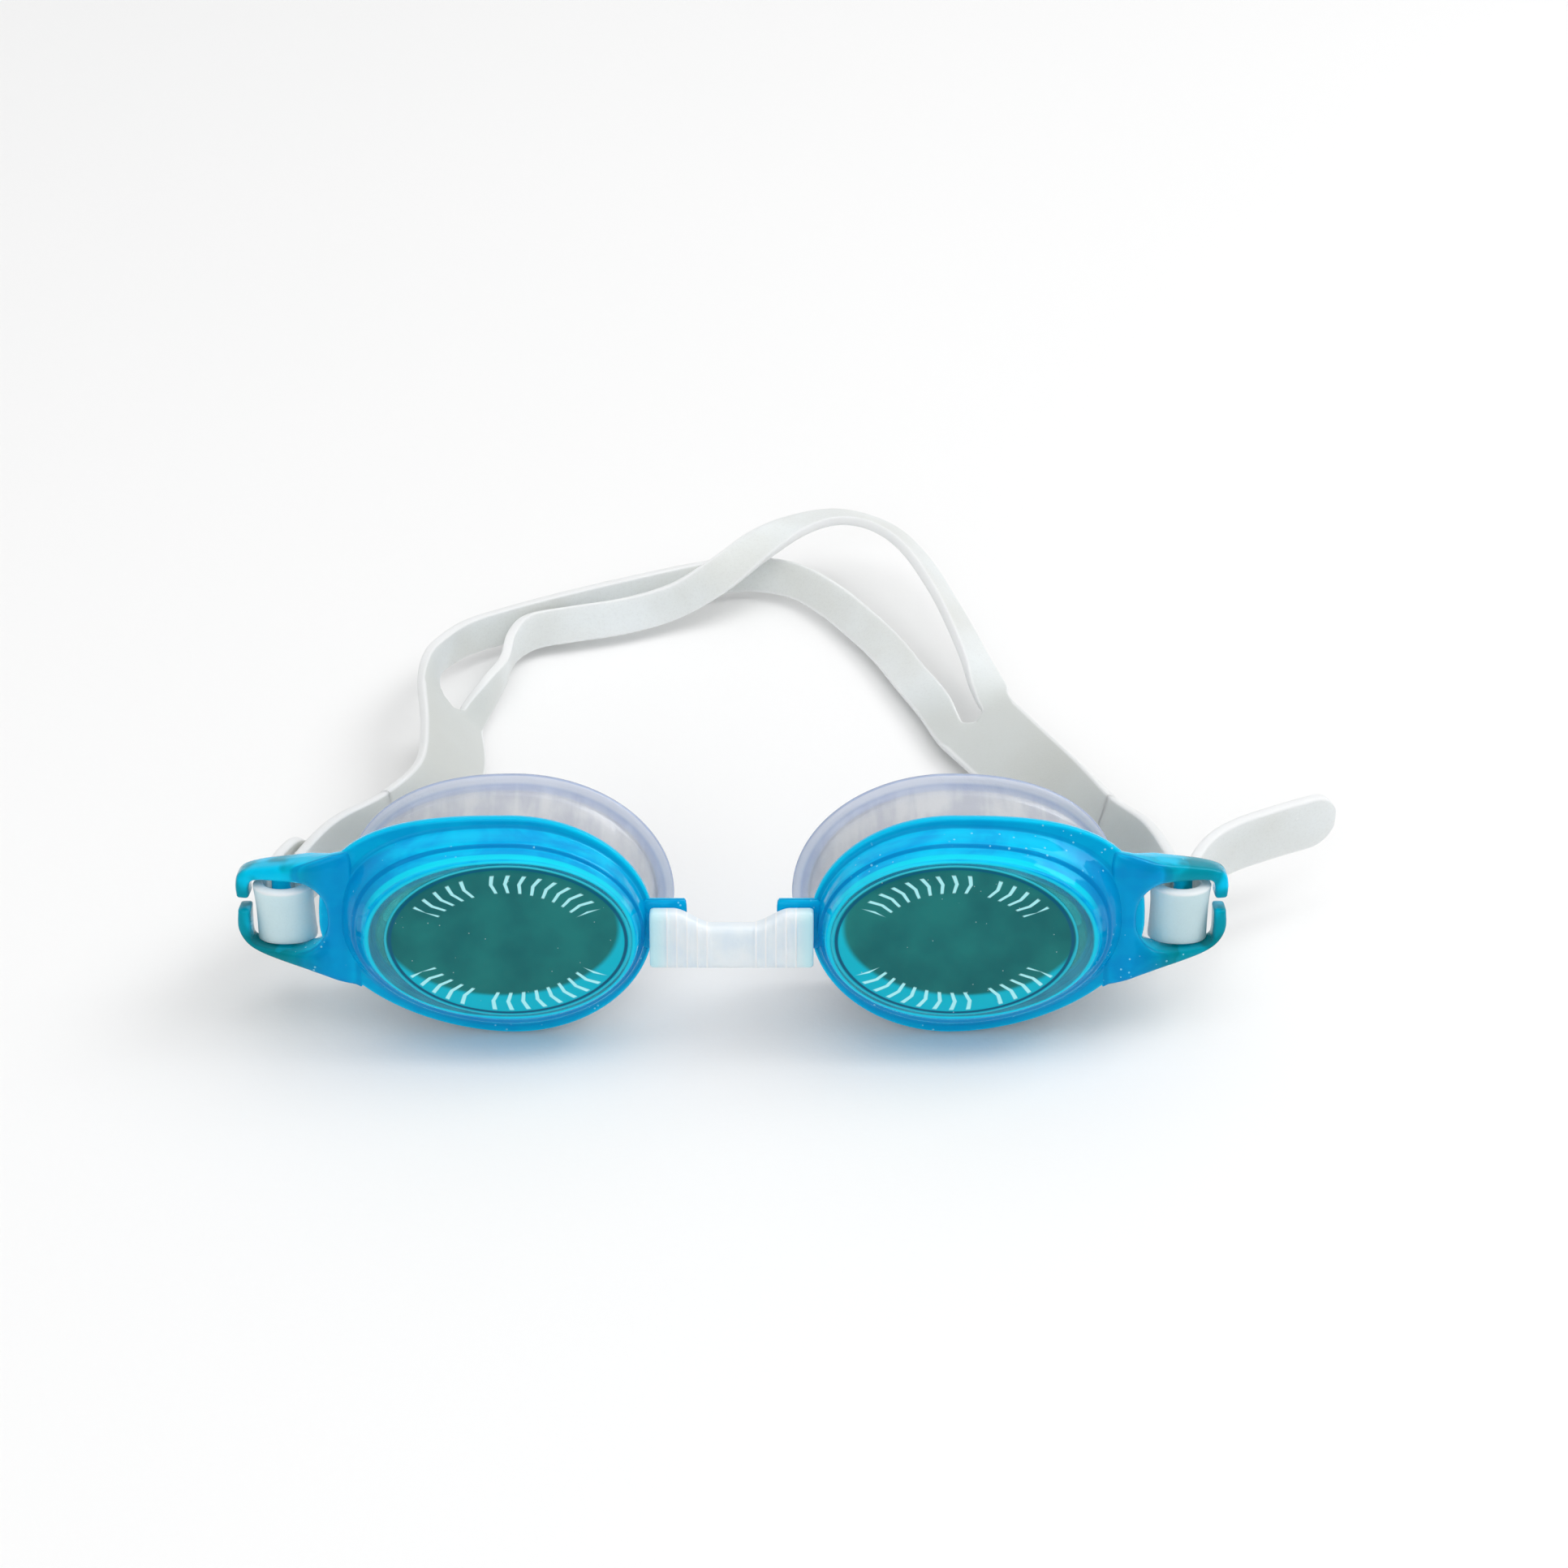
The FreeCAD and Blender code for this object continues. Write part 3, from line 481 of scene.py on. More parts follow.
# Painted shade: the side wall is painted darker towards the temple and, less, towards the nose.
wall_only = depth.step(0.8, 1.6) * (1.0 - depth.step(6.3, 7.0))
painted_wall_shade = wall_only * (temple.step(15.0, 23.0) + (0.0 - temple).step(15.0, 19.5) * 0.7)
cyan = cup_finish.mix(painted_wall_shade * 0.75, cyan, (0.0, 0.25, 0.60))
# Painted shade: a thin dark line in the small step of the wall, and another in the corner where the wall meets the
# flange.
cyan = cup_finish.mix(depth.band(3.15, 0.12, 0.2) * 0.8, cyan, (0.0, 0.22, 0.55))
cyan = cup_finish.mix(depth.band(6.85, 0.08, 0.2) * 0.7, cyan, (0.0, 0.26, 0.58))
# Painted highlight: a bright cyan band on the wall just outside the lens, on its upper part only.
cyan = cup_finish.mix(depth.band(1.1, 0.35, 0.35) * up.step(2.0, 9.0) * 0.8, cyan, (0.0, 0.88, 1.0))
# Painted shade: the fork's far ends are painted dark teal in patches and along their lower side, for the shade seen
# through the clear plastic.
end_shade_patches = cup_finish.noise(cup_where, 0.16, 2.0).step(0.4, 0.56) * 0.8 + (0.0 - up).step(2.0, 5.0) * 0.7
painted_end_shade = temple.step(28.0, 36.5) * end_shade_patches.math("MINIMUM", 1.0)
cyan = cup_finish.mix(painted_end_shade, cyan, (0.0, 0.26, 0.31))
oval = (abs(temple / (19.8 + 2.5 * (temple > 0.0))) ** 2.1 + abs(up / 13.2) ** 2.1) ** 0.476
lens_area = (1.0 - depth.step(1.9, 2.4)) * (1.0 - oval.step(0.955, 0.975))
# Painted highlight: a bright cyan line round the front rim of the lens.
lens_rim_highlight = (1.0 - depth.step(0.3, 0.9)) * oval.band(0.975, 0.01, 0.012)
cup_colour = cup_finish.mix(lens_rim_highlight * 0.85, cyan, (0.02, 0.80, 0.97))
# Painted glints: small bright spots scattered in patches over the wall; they also add a faint bump.
glint_area = cup_finish.noise(cup_where, 0.09, 1.0).step(0.5, 0.62) * depth.step(1.0, 2.4)
painted_glints = cup_finish.spots(cup_where, 0.75, 0.13) * glint_area
cup_colour = cup_finish.mix(painted_glints * 0.7, cup_colour, (0.35, 0.85, 0.97))
scratch = cup_finish.streaks(cup_where, (0.3, 2.0, 5.0), 4.0, 0.6)
cup_rough = 0.035 + 0.06 * scratch.step(0.55, 0.75) + 0.1 * painted_end_shade
cup_bump = cup_finish.bump(cloud * 0.5 + painted_glints * 0.04, 0.0006, 0.35)
cup_finish.wear(Base_Color=cup_colour, Roughness=cup_rough, Normal=cup_bump, Emission_Color=cup_colour)
# The flat lens is clearer and greener than the wall round it.
lens_colour = cup_finish.mix(cloud.step(0.35, 0.65), (0.0, 0.40, 0.43), (0.05, 0.56, 0.56))
lens_shader = cup_finish.node("ShaderNodeBsdfPrincipled", None, {
    "Base Color": lens_colour, "Roughness": cup_rough, "Normal": cup_bump, "Transmission Weight": 0.72, "IOR": 1.5,
    "Specular IOR Level": 0.3})
cup_finish.blend_in(lens_area, lens_shader)


CUP_SHARP_FROM = 48.0


def eyecup(side, name):
    """The whole cup of one side, its five overlapping bodies made one."""
    cup = capped_tube(cup_rings(), side, name)
    outer_bodies = {
        "_fork": fork_rings(),
        "_post": bar_rings((36.2, 11.0, -5.8), (36.2, 11.0, 7.6), 1.5, 1.5, (1, 0, 0), (0, 1, 0), 2.0),
        "_lug": bar_rings((-20.6, 7.1, 0.0), (-27.4, 7.1, 0.0), 0.9, 4.15, (0, 1, 0), (0, 0, 1), 4.0),
        "_peg": bar_rings((-24.6, 7.2, 0.0), (-24.6, 4.5, 0.0), 1.4, 1.4, (1, 0, 0), (0, 0, 1), 2.0),
    }
    unite(cup, [capped_tube(rings, side, name + ending) for ending, rings in outer_bodies.items()])
    cup.data.set_sharp_from_angle(angle=math.radians(CUP_SHARP_FROM))
    cup.data.materials.clear()
    cup.data.materials.append(cup_finish.material)
    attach(cup, "right_cup" if side > 0 else "left_cup")
    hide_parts("eyecup_right" if side > 0 else "eyecup_left")


eyecup(1, "right_eyecup")
eyecup(-1, "left_eyecup")

# ---------------------------------------------------------------------------------------------
# Seals: soft translucent silicone rings, moulded with a thin waisted wall and a flared flat rim,
# stretched over the back of each cup's flange. The rim rests on the face.
# ---------------------------------------------------------------------------------------------
SEAL_DEPTH, SEAL_WALL, SEAL_INSET, SEAL_WAIST, SEAL_LIP = 12.6, 1.5, 1.4, 1.2, 3.2
SEAL_TEMPLE_INSET, SEAL_RIM_THICK = 2.6, 1.4
SEAL_CORNERS = np.array([2.3, 2.1, 2.0])
seal_back = FLANGE_BACK + SEAL_DEPTH
LENS_HEIGHT = MIDDLE[2] / MM
seal_rim_bottom = (LENS_HEIGHT - seal_back * math.sin(TILT)) / math.cos(TILT)
SEAL_FOOT = FLANGE - np.array([SEAL_INSET, SEAL_INSET + SEAL_TEMPLE_INSET, SEAL_INSET, SEAL_INSET])
SEAL_RIM = np.array([25.0, 27.0, 19.95, seal_rim_bottom])


def seal_rings():
    """Closed ring: out along the outer wall from foot to rim, over the rim's rounded edge, and back inside.
    Between foot and rim the outline follows a cubic that draws in at the waist."""
    def outline(share):
        waist = SEAL_WAIST * math.sin(math.pi * min(share / 0.9, 1.0))
        eased = share ** 1.7
        return SEAL_FOOT + (SEAL_RIM - (SEAL_LIP - SEAL_WALL) - SEAL_FOOT) * eased - waist

    foot = FLANGE_BACK + 0.02
    rings = [(foot, SEAL_FOOT - 0.3)]
    for share in np.linspace(0.02, 0.86, 9):
        rings.append((FLANGE_BACK + SEAL_DEPTH * share, outline(share)))
    front = seal_back - SEAL_RIM_THICK
    rings += [(front + further, SEAL_RIM - inset) for further, inset in (
        (-0.2, 1.5), (-0.02, 0.8), (0.1, 0.3), (0.42, 0.05), (0.75, 0.0), (1.15, 0.12), (1.36, 0.5))]
    rings += [(seal_back - before, SEAL_RIM - inset) for before, inset in (
        (0.0, 1.0), (0.0, 2.2), (0.06, 2.8), (0.4, 3.15), (1.0, 3.2))]
    for share in np.linspace(0.8, 0.02, 8):
        rings.append((FLANGE_BACK + SEAL_DEPTH * share, outline(share) - SEAL_WALL))
    rings.append((foot, SEAL_FOOT - SEAL_WALL + 0.3))
    depth = np.array([r[0] for r in rings])[:, None]
    x, z = egg(full_turn(AROUND), np.array([r[1] for r in rings])[:, None, :], SEAL_CORNERS[None, None, :])
    return np.stack([x, np.broadcast_to(depth, x.shape), z], -1)


seal_finish = Finish("clear_lilac_silicone", Transmission_Weight=0.42, IOR=1.41, Subsurface_Weight=0.35,
                     Subsurface_Scale=0.004, Subsurface_Radius=(1.0, 0.95, 1.0), Coat_Weight=0.5, Coat_Roughness=0.06)
seal_where = seal_finish.place()
seal_deep = seal_finish.parts(seal_where)[1]
seal_cloud = seal_finish.noise(seal_where, 0.12, 3.0)
seal_grain = seal_finish.noise(seal_where, 1.6, 4.0, 0.6)
seal_streak = seal_finish.streaks(seal_where, (0.45, 0.06, 0.1), distortion=0.4)
seal_tone = (seal_cloud * 0.5 + seal_streak * 0.5).step(0.38, 0.6)
seal_colour = seal_finish.mix(seal_tone, (0.60, 0.62, 0.68), (0.76, 0.77, 0.79))
seal_colour = seal_finish.mix(seal_deep.step(seal_back - 2.1, seal_back - 1.3) * 0.9, seal_colour, (0.50, 0.60, 0.86))
# Painted highlight: a thin bright line along the front edge of the rim.
seal_colour = seal_finish.mix(seal_deep.band(seal_back - 1.35, 0.12, 0.15) * 0.7, seal_colour, (0.93, 0.95, 1.0))
seal_material = seal_finish.wear(
    Base_Color=seal_colour,
    Roughness=0.14 + 0.14 * seal_cloud,
    Normal=seal_finish.bump(seal_grain, 0.00012, 0.5),
)
for side, name in ((1, "right_gasket"), (-1, "left_gasket")):
    rings = seal_rings()
    gasket = mesh_object(name, stand_up(rings, side), grid_faces(*rings.shape[:2], True, True), seal_material)
    outwards(gasket)
    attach(gasket, "right_cup" if side > 0 else "left_cup")
    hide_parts("gasket_right" if side > 0 else "gasket_left")

# ---------------------------------------------------------------------------------------------
# Films: a thin oval of clear plastic stuck on each new lens, to be peeled off before use, printed
# with a pale row of arrowheads along its top and its bottom.
# ---------------------------------------------------------------------------------------------
FILM_ACROSS, FILM_UP, FILM_AROUND = 19.1, 12.5, 120
# The marks: how many degrees of the oval each takes, and which of the places along a row stays empty.
MARK_PITCH, EMPTY_PLACE = 8.6, 8.0


def film_rings():
    """Thin oval plate with a rounded edge: an ellipse drawn in by a little on its front and its back."""
    rings = [(-0.02, 0.03), (-0.02, 0.5), (-0.02, 0.97), (-0.06, 0.992), (-0.16, 1.0), (-0.26, 0.994),
             *((-FILM_THICKNESS, share) for share in (0.985, 0.9, 0.5, 0.03))]
    depth = np.array([r[0] for r in rings])[:, None]
    share = np.array([r[1] for r in rings])[:, None]
    angle = full_turn(FILM_AROUND)
    x, z = share * FILM_ACROSS * np.cos(angle), share * FILM_UP * np.sin(angle)
    return np.stack([x, np.broadcast_to(depth, x.shape), z], -1)


film_finish = Finish("printed_film", Transmission_Weight=0.42, IOR=1.3, Specular_IOR_Level=0.35)
film_where = film_finish.place()
film_across, _, film_up = film_finish.parts(film_where)
film_temple = abs(film_across) - LENS_REACH
film_x, film_z = film_temple / FILM_ACROSS, film_up / FILM_UP
film_ring = (film_x ** 2.0 + film_z ** 2.0) ** 0.5
film_turn = abs(film_z).math("ARCTAN2", film_x) * (180 / math.pi)
off_line = film_ring - (0.755 + 0.05 * (film_z < 0.0))
cell = film_turn / MARK_PITCH
inside_cell = cell.math("FRACT") - 0.5 - abs(off_line) * 1.9 + 0.12
stroke = 1.0 - abs(inside_cell).step(0.1, 0.16)
row = (1.0 - abs(off_line).step(0.105, 0.125)) * film_turn.step(29.5, 30.5) * (1.0 - film_turn.step(149.5, 150.5))
gap = 1.0 - (abs(cell.math("FLOOR") - EMPTY_PLACE) < 0.5)
marks = stroke * row * gap * (abs(film_z) > 0.1)
film_cloud = film_finish.noise(film_where, 0.1, 3.0)
dust = film_finish.spots(film_where, 0.55, 0.05)
# The film's dark teal is partly its tint and partly painted shade: the shaded inside of the cup, seen through the
# lens.
film_teal = film_finish.mix(film_cloud.step(0.3, 0.7), (0.004, 0.2, 0.21), (0.015, 0.29, 0.28))
# Light that comes in under the cup brightens the film's lower edge in a crescent.
lit_oval = (((film_temple - 1.2) / 18.0) ** 2.0 + ((film_up - 2.2) / 11.0) ** 2.0) ** 0.5
crescent = lit_oval.step(0.985, 1.05) * (1.0 - film_up.step(2.0, 7.0))
film_teal = film_finish.mix(crescent * 0.96, film_teal, (0.0, 0.72, 0.92))
film_teal = film_finish.mix(film_ring.band(0.955, 0.008, 0.012), film_teal, (0.0, 0.16, 0.3))
# Painted highlight: the film's rounded edge is painted bright cyan.
film_teal = film_finish.mix(film_ring.step(0.972, 0.985), film_teal, (0.04, 0.72, 0.90))
film_teal = film_finish.mix(dust * 0.8, film_teal, (0.5, 0.8, 0.8))
film_finish.wear(Base_Color=film_teal, Roughness=0.05 + 0.12 * film_cloud.step(0.45, 0.7),
                 Normal=film_finish.bump(film_cloud, 0.0004, 0.3))
mark_shader = film_finish.node("ShaderNodeBsdfPrincipled", None,
                               {"Base Color": (0.42, 0.90, 0.95, 1.0), "Roughness": 0.4})
film_finish.blend_in(marks * 0.94, mark_shader)
for side, name, body in ((1, "right_film", "right_film"), (-1, "left_film", "left_film")):
    film = capped_tube(film_rings(), side, name)
    film.data.materials.append(film_finish.material)
    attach(film, body)
    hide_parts("protective_film_right" if side > 0 else "protective_film_left")

# ---------------------------------------------------------------------------------------------
# Nose bridge: one soft moulded silicone bar, clear and faintly blue, with fine upright ribs near its
# ends where it bends, and a blind hole at each end that presses on to the cup's peg.
# ---------------------------------------------------------------------------------------------
BRIDGE_HALF, BRIDGE_FRONT, BRIDGE_BACK = 12.7, 2.6, 6.0
BRIDGE_END_TOP, BRIDGE_MIDDLE_TOP, BRIDGE_BOTTOM = 3.4, 1.0, -6.0
RIB_PLACES = np.array([3.7, 5.2, 6.8, 8.4, 9.9])
RIB_HIGH, RIB_HALF = 0.34, 0.26
BRIDGE_ROWS, BRIDGE_AROUND, BRIDGE_SQUARENESS, BRIDGE_END = 221, 56, 0.45, 0.6


def bridge_rings():
    """A rounded rectangle carried across from cup to cup. Its top edge falls smoothly from level ends to a
    low middle, and its front has a low rounded ridge at each rib."""
    x = np.concatenate([[-BRIDGE_HALF, -BRIDGE_HALF + 0.06, -BRIDGE_HALF + 0.25],
                        np.linspace(-BRIDGE_HALF + BRIDGE_END, BRIDGE_HALF - BRIDGE_END, BRIDGE_ROWS),
                        [BRIDGE_HALF - 0.25, BRIDGE_HALF - 0.06, BRIDGE_HALF]])[:, None]
    end = np.clip((BRIDGE_HALF - np.abs(x)) / BRIDGE_END, 0.0, 1.0)
    shrink = 1.0 - 0.1 * (1.0 - np.sqrt(1.0 - (1.0 - end) ** 2))
    share = np.clip((np.abs(x) - 3.0) / 6.2, 0.0, 1.0)
    top = BRIDGE_MIDDLE_TOP + (BRIDGE_END_TOP - BRIDGE_MIDDLE_TOP) * share * share * (3 - 2 * share)
    deep, high = squared(full_turn(BRIDGE_AROUND), BRIDGE_SQUARENESS)
    ridge = np.exp(-((np.abs(x)[..., None] - RIB_PLACES) / RIB_HALF) ** 2).sum(-1)
    on_front = np.clip(-deep, 0.0, 1.0) ** 2 * (1.0 - np.abs(high) ** 8)
    flat_y = (BRIDGE_FRONT + BRIDGE_BACK) / 2 + shrink * deep * (BRIDGE_BACK - BRIDGE_FRONT) / 2
    y = flat_y - RIB_HIGH * ridge * on_front
    z = (top + BRIDGE_BOTTOM) / 2 + shrink * high * (top - BRIDGE_BOTTOM) / 2
    return np.stack(np.broadcast_arrays(x - LENS_REACH, y, z), -1)


bridge_finish = Finish("clear_blue_silicone", Transmission_Weight=0.1, IOR=1.41, Subsurface_Weight=0.5,
                       Subsurface_Scale=0.002, Subsurface_Radius=(0.9, 0.95, 1.0), Coat_Weight=0.25,
                       Coat_Roughness=0.12)
bridge_where = bridge_finish.place()
bridge_across = bridge_finish.parts(bridge_where)[0]
bridge_cloud = bridge_finish.noise(bridge_where, 0.2, 3.0)
near_cup = abs(bridge_across).step(8.6, 13.2)
bridge_colour = bridge_finish.mix(bridge_cloud.step(0.3, 0.7), (0.78, 0.87, 0.98), (0.88, 0.94, 1.0))
bridge_colour = bridge_finish.mix(near_cup * 0.75, bridge_colour, (0.48, 0.90, 0.98))
# Painted highlights: a fine bright line on each rib.
for place in RIB_PLACES:
    rib_highlight = abs(bridge_across).band(float(place) + 0.1, 0.06, 0.12)
    bridge_colour = bridge_finish.mix(rib_highlight * 0.85, bridge_colour, (0.97, 0.99, 1.0))
bridge_finish.wear(Base_Color=bridge_colour, Roughness=0.24 + 0.16 * bridge_cloud,
                   Normal=bridge_finish.bump(bridge_finish.noise(bridge_where, 2.2, 3.0), 0.00006, 0.6))
bridge = capped_tube(bridge_rings(), 1, "bridge_bar")
bridge.data.materials.append(bridge_finish.material)
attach(bridge, "bridge")
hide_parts("nose_bridge")

# ---------------------------------------------------------------------------------------------
# Head strap: one flat silicone moulding, split in two along its middle. Each end turns forwards round
# its fork's post and leaves a free tail; the two bands behind lie apart and cross once on the table.
# ---------------------------------------------------------------------------------------------
STRAP_THICK, END_WIDTH, WIDE, BAND = 1.7, 10.1, 15.4, 6.7
# Stations of the strap's middle: across, back from the lenses, up from the table, width, and lean in degrees.
# The bands' stations leave out the width, which is the same all along.
RIGHT_ARM = [
    (66.8, 30.5, 14.8, END_WIDTH, 8), (60.6, 41.0, 11.6, END_WIDTH + 1.0, 28), (54.5, 54.0, 8.6, END_WIDTH + 3.0, 48),
    (48.4, 68.0, 5.8, WIDE - 1.0, 62), (42.2, 80.8, 4.4, WIDE, 70),
]
BAND_LOW = [
    (34.8, 88.8, 2.9, 68), (30.8, 98.0, 2.8, 66), (27.0, 106.5, 3.0, 60), (22.6, 114.0, 3.2, 50),
    (16.8, 122.5, 3.4, 42), (10.0, 129.0, 3.6, 34), (1.0, 131.2, 3.7, 24), (-8.0, 128.6, 4.0, 14),
    (-17.0, 125.0, 4.2, 8), (-31.5, 118.6, 4.3, 6), (-42.6, 112.4, 4.6, 10), (-49.6, 106.6, 5.6, 4),
    (-53.8, 98.6, 7.2, -2), (-54.6, 91.0, 8.8, 14),
]
BAND_HIGH = [
    (44.6, 89.6, 6.0, 98), (42.8, 96.6, 6.9, 120), (40.4, 104.5, 8.4, 128), (37.2, 114.0, 10.0, 132),
    (32.4, 126.0, 11.4, 128), (26.6, 134.0, 12.2, 118), (18.8, 137.2, 12.6, 108), (11.0, 134.8, 12.4, 98),
    (3.6, 129.2, 11.4, 74), (-4.0, 123.0, 8.6, 44), (-12.0, 119.0, 5.6, 20), (-21.0, 115.8, 4.4, 26),
    (-31.0, 113.2, 4.2, 32), (-38.0, 110.8, 4.2, 22), (-41.4, 105.4, 4.3, -2), (-42.6, 97.0, 4.4, -8),
    (-44.8, 89.6, 4.6, 4),
]
LEFT_ARM = [
    (-50.6, 81.6, 7.0, WIDE, 40), (-48.9, 67.5, 8.2, WIDE - 0.8, 42), (-50.2, 53.0, 10.2, END_WIDTH + 2.6, 34),
    (-56.8, 41.0, 12.6, END_WIDTH + 0.8, 18), (-65.0, 31.0, 14.8, END_WIDTH, 6),
]
RIGHT_TAIL = [
    (73.5, 20.6, 15.9, END_WIDTH, 0), (76.6, 26.4, 15.6, END_WIDTH, 0), (81.2, 30.8, 15.4, END_WIDTH, 0),
    (88.0, 34.8, 15.1, END_WIDTH, 0), (94.0, 37.8, 14.9, END_WIDTH, 0), (98.6, 40.0, 14.8, END_WIDTH, 0),
]
LEFT_TAIL = [(-72.5, 21.0, 15.8, END_WIDTH, 0), (-71.2, 24.8, 15.4, END_WIDTH, 0), (-68.8, 29.2, 15.1, END_WIDTH, 0)]
TURN_X, TURN_RADIUS, TURN_DEPTH = 35.8, 3.7, 11.8
# The loops round the posts sag a little below the middle of the arms.
LOOP_SAG = 0.25
TAIL_ROUND = 4.6
SLOT_HALF = 2.1
# Rows of points from one station to the next, and columns across. Each strap end is cut at its arm's
# fourth station, where the middle piece takes over.
ARM_SPANS, BAND_SPANS = 6, 8
ARM_COLUMNS, BAND_COLUMNS = 11, 7
ARM_CENTRE, ARM_EDGE = ARM_COLUMNS // 2, ARM_COLUMNS - 1
CUT_ROW = 3 * ARM_SPANS
# How near a point must lie to a cut, along the strap and away from its middle, to belong to it, in metres.
CUT_DEPTH, CUT_REACH = 0.00045, 0.016
STRAP_SHARP_FROM = 66.0


def on_table(points):
    """Points given in millimetres from the table under the middle of the lenses, in their place in the frame."""
    return MIDDLE + (np.asarray(points, float) - np.array([0.0, 0.0, LENS_HEIGHT])) * MM


def post_turn(side):
    """Stations round one post from the head side to the tail side: in, half a circle over the front, and out."""
    plan = [(TURN_X + 0.2, TURN_DEPTH + 5.6), (TURN_X - 1.6, TURN_DEPTH + 4.2), (TURN_X - 3.1, TURN_DEPTH + 2.4)]
    turn = np.linspace(0.0, math.pi, 9)
    plan += list(zip(TURN_X - TURN_RADIUS * np.cos(turn), TURN_DEPTH - TURN_RADIUS * np.sin(turn)))
    plan += [(TURN_X + 3.6, TURN_DEPTH + 2.4), (TURN_X + 3.0, TURN_DEPTH + 4.2), (TURN_X + 2.8, TURN_DEPTH + 5.6)]
    plan = np.array(plan)
    points = stand_up(np.column_stack([plan, np.full(len(plan), ARM_MIDDLE - LOOP_SAG)]), side)
    points = (points - MIDDLE) / MM + np.array([0.0, 0.0, LENS_HEIGHT])
    return [(*p, END_WIDTH, 0.0) for p in points]


def strap_edges(stations):
    """Middle line, and the lower and upper edges, of a flat strap through its stations: across is upright
    turned outwards by the station's lean, where outwards is level and square to the strap's run."""
    centre, width, lean = stations[:, :3], stations[:, 3:4], np.radians(stations[:, 4:5])
    along = np.gradient(centre, axis=0)
    along /= np.linalg.norm(along, axis=1, keepdims=True)
    upright = np.array([0.0, 0.0, 1.0]) - along * along[:, 2:3]
    upright /= np.linalg.norm(upright, axis=1, keepdims=True)
    outward = np.cross(along, upright)
    across = (upright * np.cos(lean) + outward * np.sin(lean)) * width / 2
    return centre - across, centre + across


def strap_shares(columns):
    """How far across each column lies, from 0 at the lower edge to 1 at the upper one."""
    return np.sort(np.append(np.linspace(0.0, 1.0, columns - 2), (0.05, 0.95)))


def strap_sheet(lower, upper, columns):
    """Grid of points straight across from the lower edge to the upper one, with its outermost columns
    close to the edges, so that the rounding there stays small."""
    return lower[:, None] + (upper[:, None] - lower[:, None]) * strap_shares(columns)[None, :, None]


def rounded_tail(lower, upper, length):
    """Draws a tail's last stretch in to a half-round end: its width there is the circle's chord."""
    middle, half = (lower + upper) / 2, (upper - lower) / 2
    run = np.concatenate([[0.0], np.cumsum(np.linalg.norm(np.diff(middle, axis=0), axis=1))])
    left = np.clip((run[-1] - run) / length, 0.0, 1.0)[:, None]
    chord = np.sqrt(np.clip(1.0 - (1.0 - left) ** 2, 0.02, 1.0))
    return middle - half * chord, middle + half * chord


def open_cuts(mesh, at_cut):
    """Takes away the faces that lie wholly in a cut, so that rounding treats the cut as the strap's section."""
    shell = bmesh.new()
    shell.from_mesh(mesh)
    in_cut = [face for face in shell.faces if all(at_cut[corner.index] for corner in face.verts)]
    bmesh.ops.delete(shell, geom=in_cut, context="FACES_ONLY")
    shell.to_mesh(mesh)
    shell.free()


def close_cuts(mesh):
    """Puts a flat face back over each cut."""
    shell = bmesh.new()
    shell.from_mesh(mesh)
    bmesh.ops.holes_fill(shell, edges=[e for e in shell.edges if e.is_boundary], sides=0)
    bmesh.ops.recalc_face_normals(shell, faces=shell.faces)
    shell.to_mesh(mesh)
    shell.free()


def strap_piece(name, sheets, material, cuts):
    """A strap piece from sheets of points and of how far across each point lies. The sheets are joined where
    they meet, given their thickness to both sides, and rounded by subdivision, except at the cuts, where
    another piece carries on. A cut is a point and the strap's run there."""
    points, faces, first = [], [], 0
    for sheet, _ in sheets:
        points.append(sheet.reshape(-1, 3))
        faces.extend(grid_faces(*sheet.shape[:2], first=first))
        first += sheet.shape[0] * sheet.shape[1]
    made = mesh_object(name, on_table(np.concatenate(points)), faces, material)
    sides = np.concatenate([np.broadcast_to(side, sheet.shape[:2]).ravel() for sheet, side in sheets])
    made.data.attributes.new("strap_across", "FLOAT", "POINT").data.foreach_set("value", sides)
    outwards(made)
    wall = made.modifiers.new("wall", "SOLIDIFY")
    wall.thickness, wall.offset, wall.use_even_offset, wall.use_rim = STRAP_THICK * MM, 0.0, False, True
    bpy.context.view_layer.objects.active = made
    bpy.ops.object.modifier_apply(modifier=wall.name)
    mesh = made.data
    where = np.zeros(len(mesh.vertices) * 3)
    mesh.vertices.foreach_get("co", where)
    where = where.reshape(-1, 3)
    at_cut = np.zeros(len(where), bool)
    for cut_point, cut_along in cuts:
        away = where - on_table(cut_point)
        at_cut |= (np.abs(away @ cut_along) < CUT_DEPTH) & (np.linalg.norm(away, axis=1) < CUT_REACH)
    open_cuts(mesh, at_cut)
    rounding = made.modifiers.new("rounding", "SUBSURF")
    rounding.levels = rounding.render_levels = 2
    rounding.boundary_smooth = "ALL"
    bpy.ops.object.modifier_apply(modifier=rounding.name)
    close_cuts(made.data)
    made.data.polygons.foreach_set("use_smooth", [True] * len(made.data.polygons))
    made.data.set_sharp_from_angle(angle=math.radians(STRAP_SHARP_FROM))
    return made


strap_finish = Finish("frosted_silicone", Transmission_Weight=0.12, IOR=1.41, Subsurface_Weight=0.6,
                      Subsurface_Scale=0.003, Subsurface_Radius=(1.0, 1.0, 0.95), Sheen_Weight=0.06)
strap_where = strap_finish.place(turn=LEVEL)
strap_cloud = strap_finish.noise(strap_where, 0.035, 3.0)
strap_grain = strap_finish.noise(strap_where, 2.4, 4.0, 0.65)
flecks = strap_finish.spots(strap_where, 0.16, 0.035)
strap_colour = strap_finish.mix(strap_cloud.step(0.35, 0.65), (0.77, 0.79, 0.77), (0.87, 0.92, 0.93))
strap_colour = strap_finish.mix(strap_grain.step(0.45, 0.7) * 0.12, strap_colour, (0.5, 0.5, 0.48))
strap_colour = strap_finish.mix(flecks * 0.6, strap_colour, (0.95, 0.97, 0.98))
strap_x, strap_y, _ = strap_finish.parts(strap_where)
